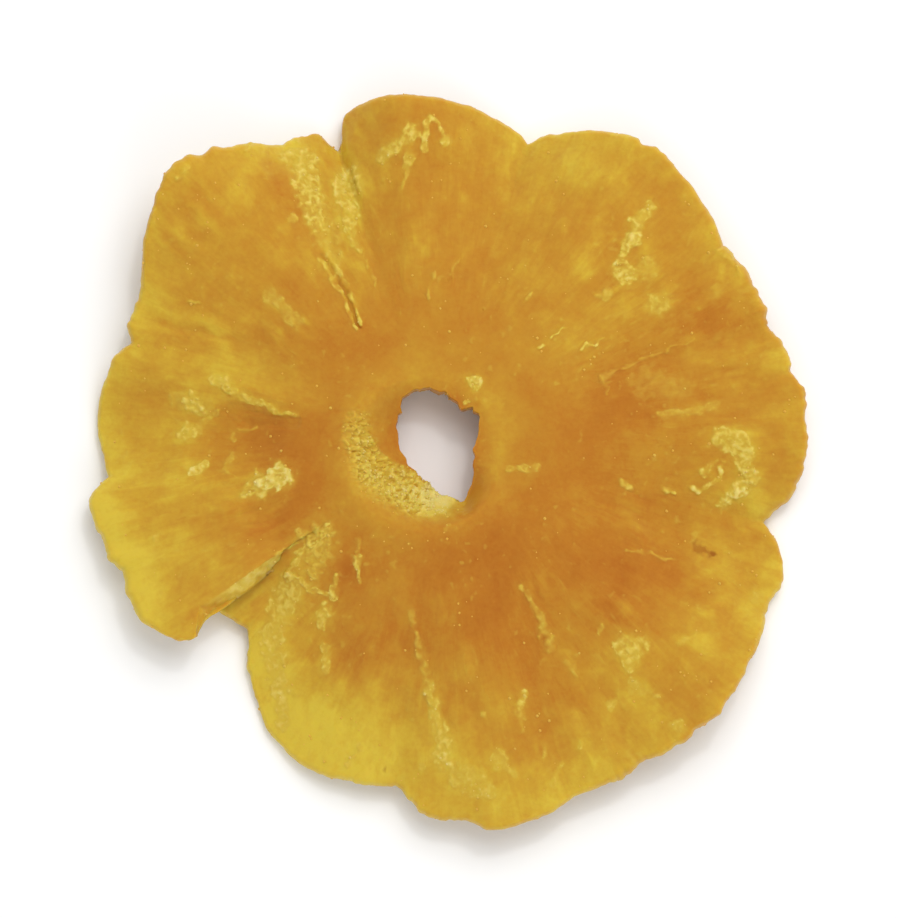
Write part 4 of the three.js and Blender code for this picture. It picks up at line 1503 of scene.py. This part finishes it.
# %% The crumbs' finish
CRUMB_COLOURS = [(0.05, "#dbab45"), (0.5, "#d8b850"), (1.0, "#e2d082")]
CRUMB_PATCH = 1.2  # mm: neighbouring crumbs are alike
PATCH_MIDDLE = 0.4  # the patch noise's value that leaves the crust's own colour
CRUMB_FINISH = {
    "Roughness": 0.6,
    "Specular IOR Level": 0.2,
    "Subsurface Weight": 0.3,
    "Subsurface Radius": (1.0, 0.8, 0.4),
    "Subsurface Scale": 0.2 * MM,
}


def make_crumb_finish():
    """Dry sugary pulp: pale, matt, with a little light passing through."""
    material, tree, shader = new_material("dry_sugared_pulp", CRUMB_FINISH)
    place = add_node(tree, "ShaderNodeTexCoord").outputs["Object"]
    fineness = {"Scale": 1 / (CRUMB_PATCH * MM), "Detail": 2.0, "Vector": place}
    patches = add_node(tree, "ShaderNodeTexNoise", inputs=fineness).outputs["Fac"]
    shift = {0: patches, 1: PATCH_MIDDLE}
    shift = add_node(tree, "ShaderNodeMath", {"operation": "SUBTRACT"}, shift).outputs[0]
    # the crust also holds the painted light on the collar's sponge, so the crumbs there are paler too
    crust = add_node(tree, "ShaderNodeAttribute", {"attribute_name": "crust"}).outputs["Fac"]
    paleness = add_node(tree, "ShaderNodeMath", {"operation": "ADD"}, {0: crust, 1: shift}).outputs[0]
    pale = add_node(tree, "ShaderNodeValToRGB", inputs={0: paleness})
    fill_ramp(pale.color_ramp.elements, CRUMB_COLOURS)
    tree.links.new(pale.outputs[0], shader.inputs["Base Color"])
    return material


dry_pulp = make_crumb_finish()
print("pulp nodes:", len(dry_pulp.node_tree.nodes))

# %% Scatter the crumbs
values = {**CRUMB_SIZES, "Material": dry_pulp}
crumbs = run_tree("pulp_crumbs", ring.data.copy(), scatter_crumbs, values)
keep_above_floor(crumbs)
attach(crumbs, "root")
print("crumbs:", len(crumbs.data.polygons) // STONE_FACES, "with", len(crumbs.data.polygons), "triangles")

# %% [markdown]
# ## Floor, light and camera
# The ring lies on a plain pale floor and is seen from almost straight above. A large soft light above its far
# side gives the gentle shading that shows the relief, and a pale world fills the shadows.

# %% Floor
FLOOR_WIDTH = 12  # metres, so that its edge is out of sight from above


def make_floor():
    """A matt white board, which is not attached to the ring."""
    mesh = bpy.data.meshes.new("floor")
    half = FLOOR_WIDTH / 2
    corners = [(-half, -half, 0), (half, -half, 0), (half, half, 0), (-half, half, 0)]
    mesh.from_pydata(corners, [], [(0, 1, 2, 3)])
    floor = add_object("floor", mesh)
    paint = new_material("matt_white_board", {"Base Color": colour("#ffffff"), "Roughness": 0.8})[0]
    floor.data.materials.append(paint)


make_floor()
print("floor, m:", FLOOR_WIDTH)


# %% Light and camera
def aim(thing, location, target):
    """Puts a light or a camera at a place, pointing at a target, with its top upwards."""
    thing.location = location
    way = np.array(target) - np.array(location)
    level = math.hypot(way[0], way[1])
    thing.rotation_euler = (math.pi / 2 + math.atan2(way[2], level), 0, math.atan2(-way[0], way[1]))


def make_light(name, location, size, power):
    """A square lamp, sized in metres and watts, that shines on the ring."""
    data = bpy.data.lights.new(name, "AREA")
    data.size, data.energy = size, power
    light = add_object(name, data)
    aim(light, location, (0, 0, 0))
    light.visible_glossy = False  # as if through crossed polarisers, which take the glare off moist fruit
    return light


def make_camera(elevation, distance, lens):
    """A camera that looks at the ring's middle from the front, at this many degrees above the floor."""
    data = bpy.data.cameras.new("camera")
    data.lens = lens
    camera = add_object("camera", data)
    angle = math.radians(elevation)
    middle = (ring_low + ring_high) / 2 * MM
    aim(camera, middle + distance * np.array([0, -math.cos(angle), math.sin(angle)]), middle)
    bpy.context.scene.camera = camera


EYE_LEVEL_ENDS, OVERHEAD_STARTS = 0.1, 0.4  # upward parts of a way to look, where straight up is 1


def make_room(horizon, zenith):
    """White all round at eye level, where the walls meet the floor, and dimmer overhead."""
    world = bpy.data.worlds.new("pale_room")
    bpy.context.scene.world = world
    world.use_nodes = True
    tree = world.node_tree
    way = add_node(tree, "ShaderNodeTexCoord").outputs["Generated"]
    up = add_node(tree, "ShaderNodeSeparateXYZ", inputs={"Vector": way}).outputs["Z"]
    heights = {"From Min": EYE_LEVEL_ENDS, "From Max": OVERHEAD_STARTS, "Value": up}
    strengths = {"To Min": horizon, "To Max": zenith}
    strength = add_node(tree, "ShaderNodeMapRange", inputs={**heights, **strengths}).outputs[0]
    tree.nodes["Background"].inputs["Color"].default_value = colour("#ffffff")
    tree.links.new(strength, tree.nodes["Background"].inputs["Strength"])


make_light("soft_window", (0.1, 0.23, 0.46), size=0.4, power=1.47)
make_light("small_lamp", (0.1, 0.22, 0.5), size=0.05, power=0.3)
make_light("white_card", (0.15, -0.4, 0.3), size=0.3, power=0.5)
make_camera(elevation=84, distance=0.5, lens=180)
make_room(horizon=1.0, zenith=0.5)
bpy.context.scene.view_settings.view_transform = "Standard"
print("camera, m:", [round(value, 3) for value in bpy.context.scene.camera.location])
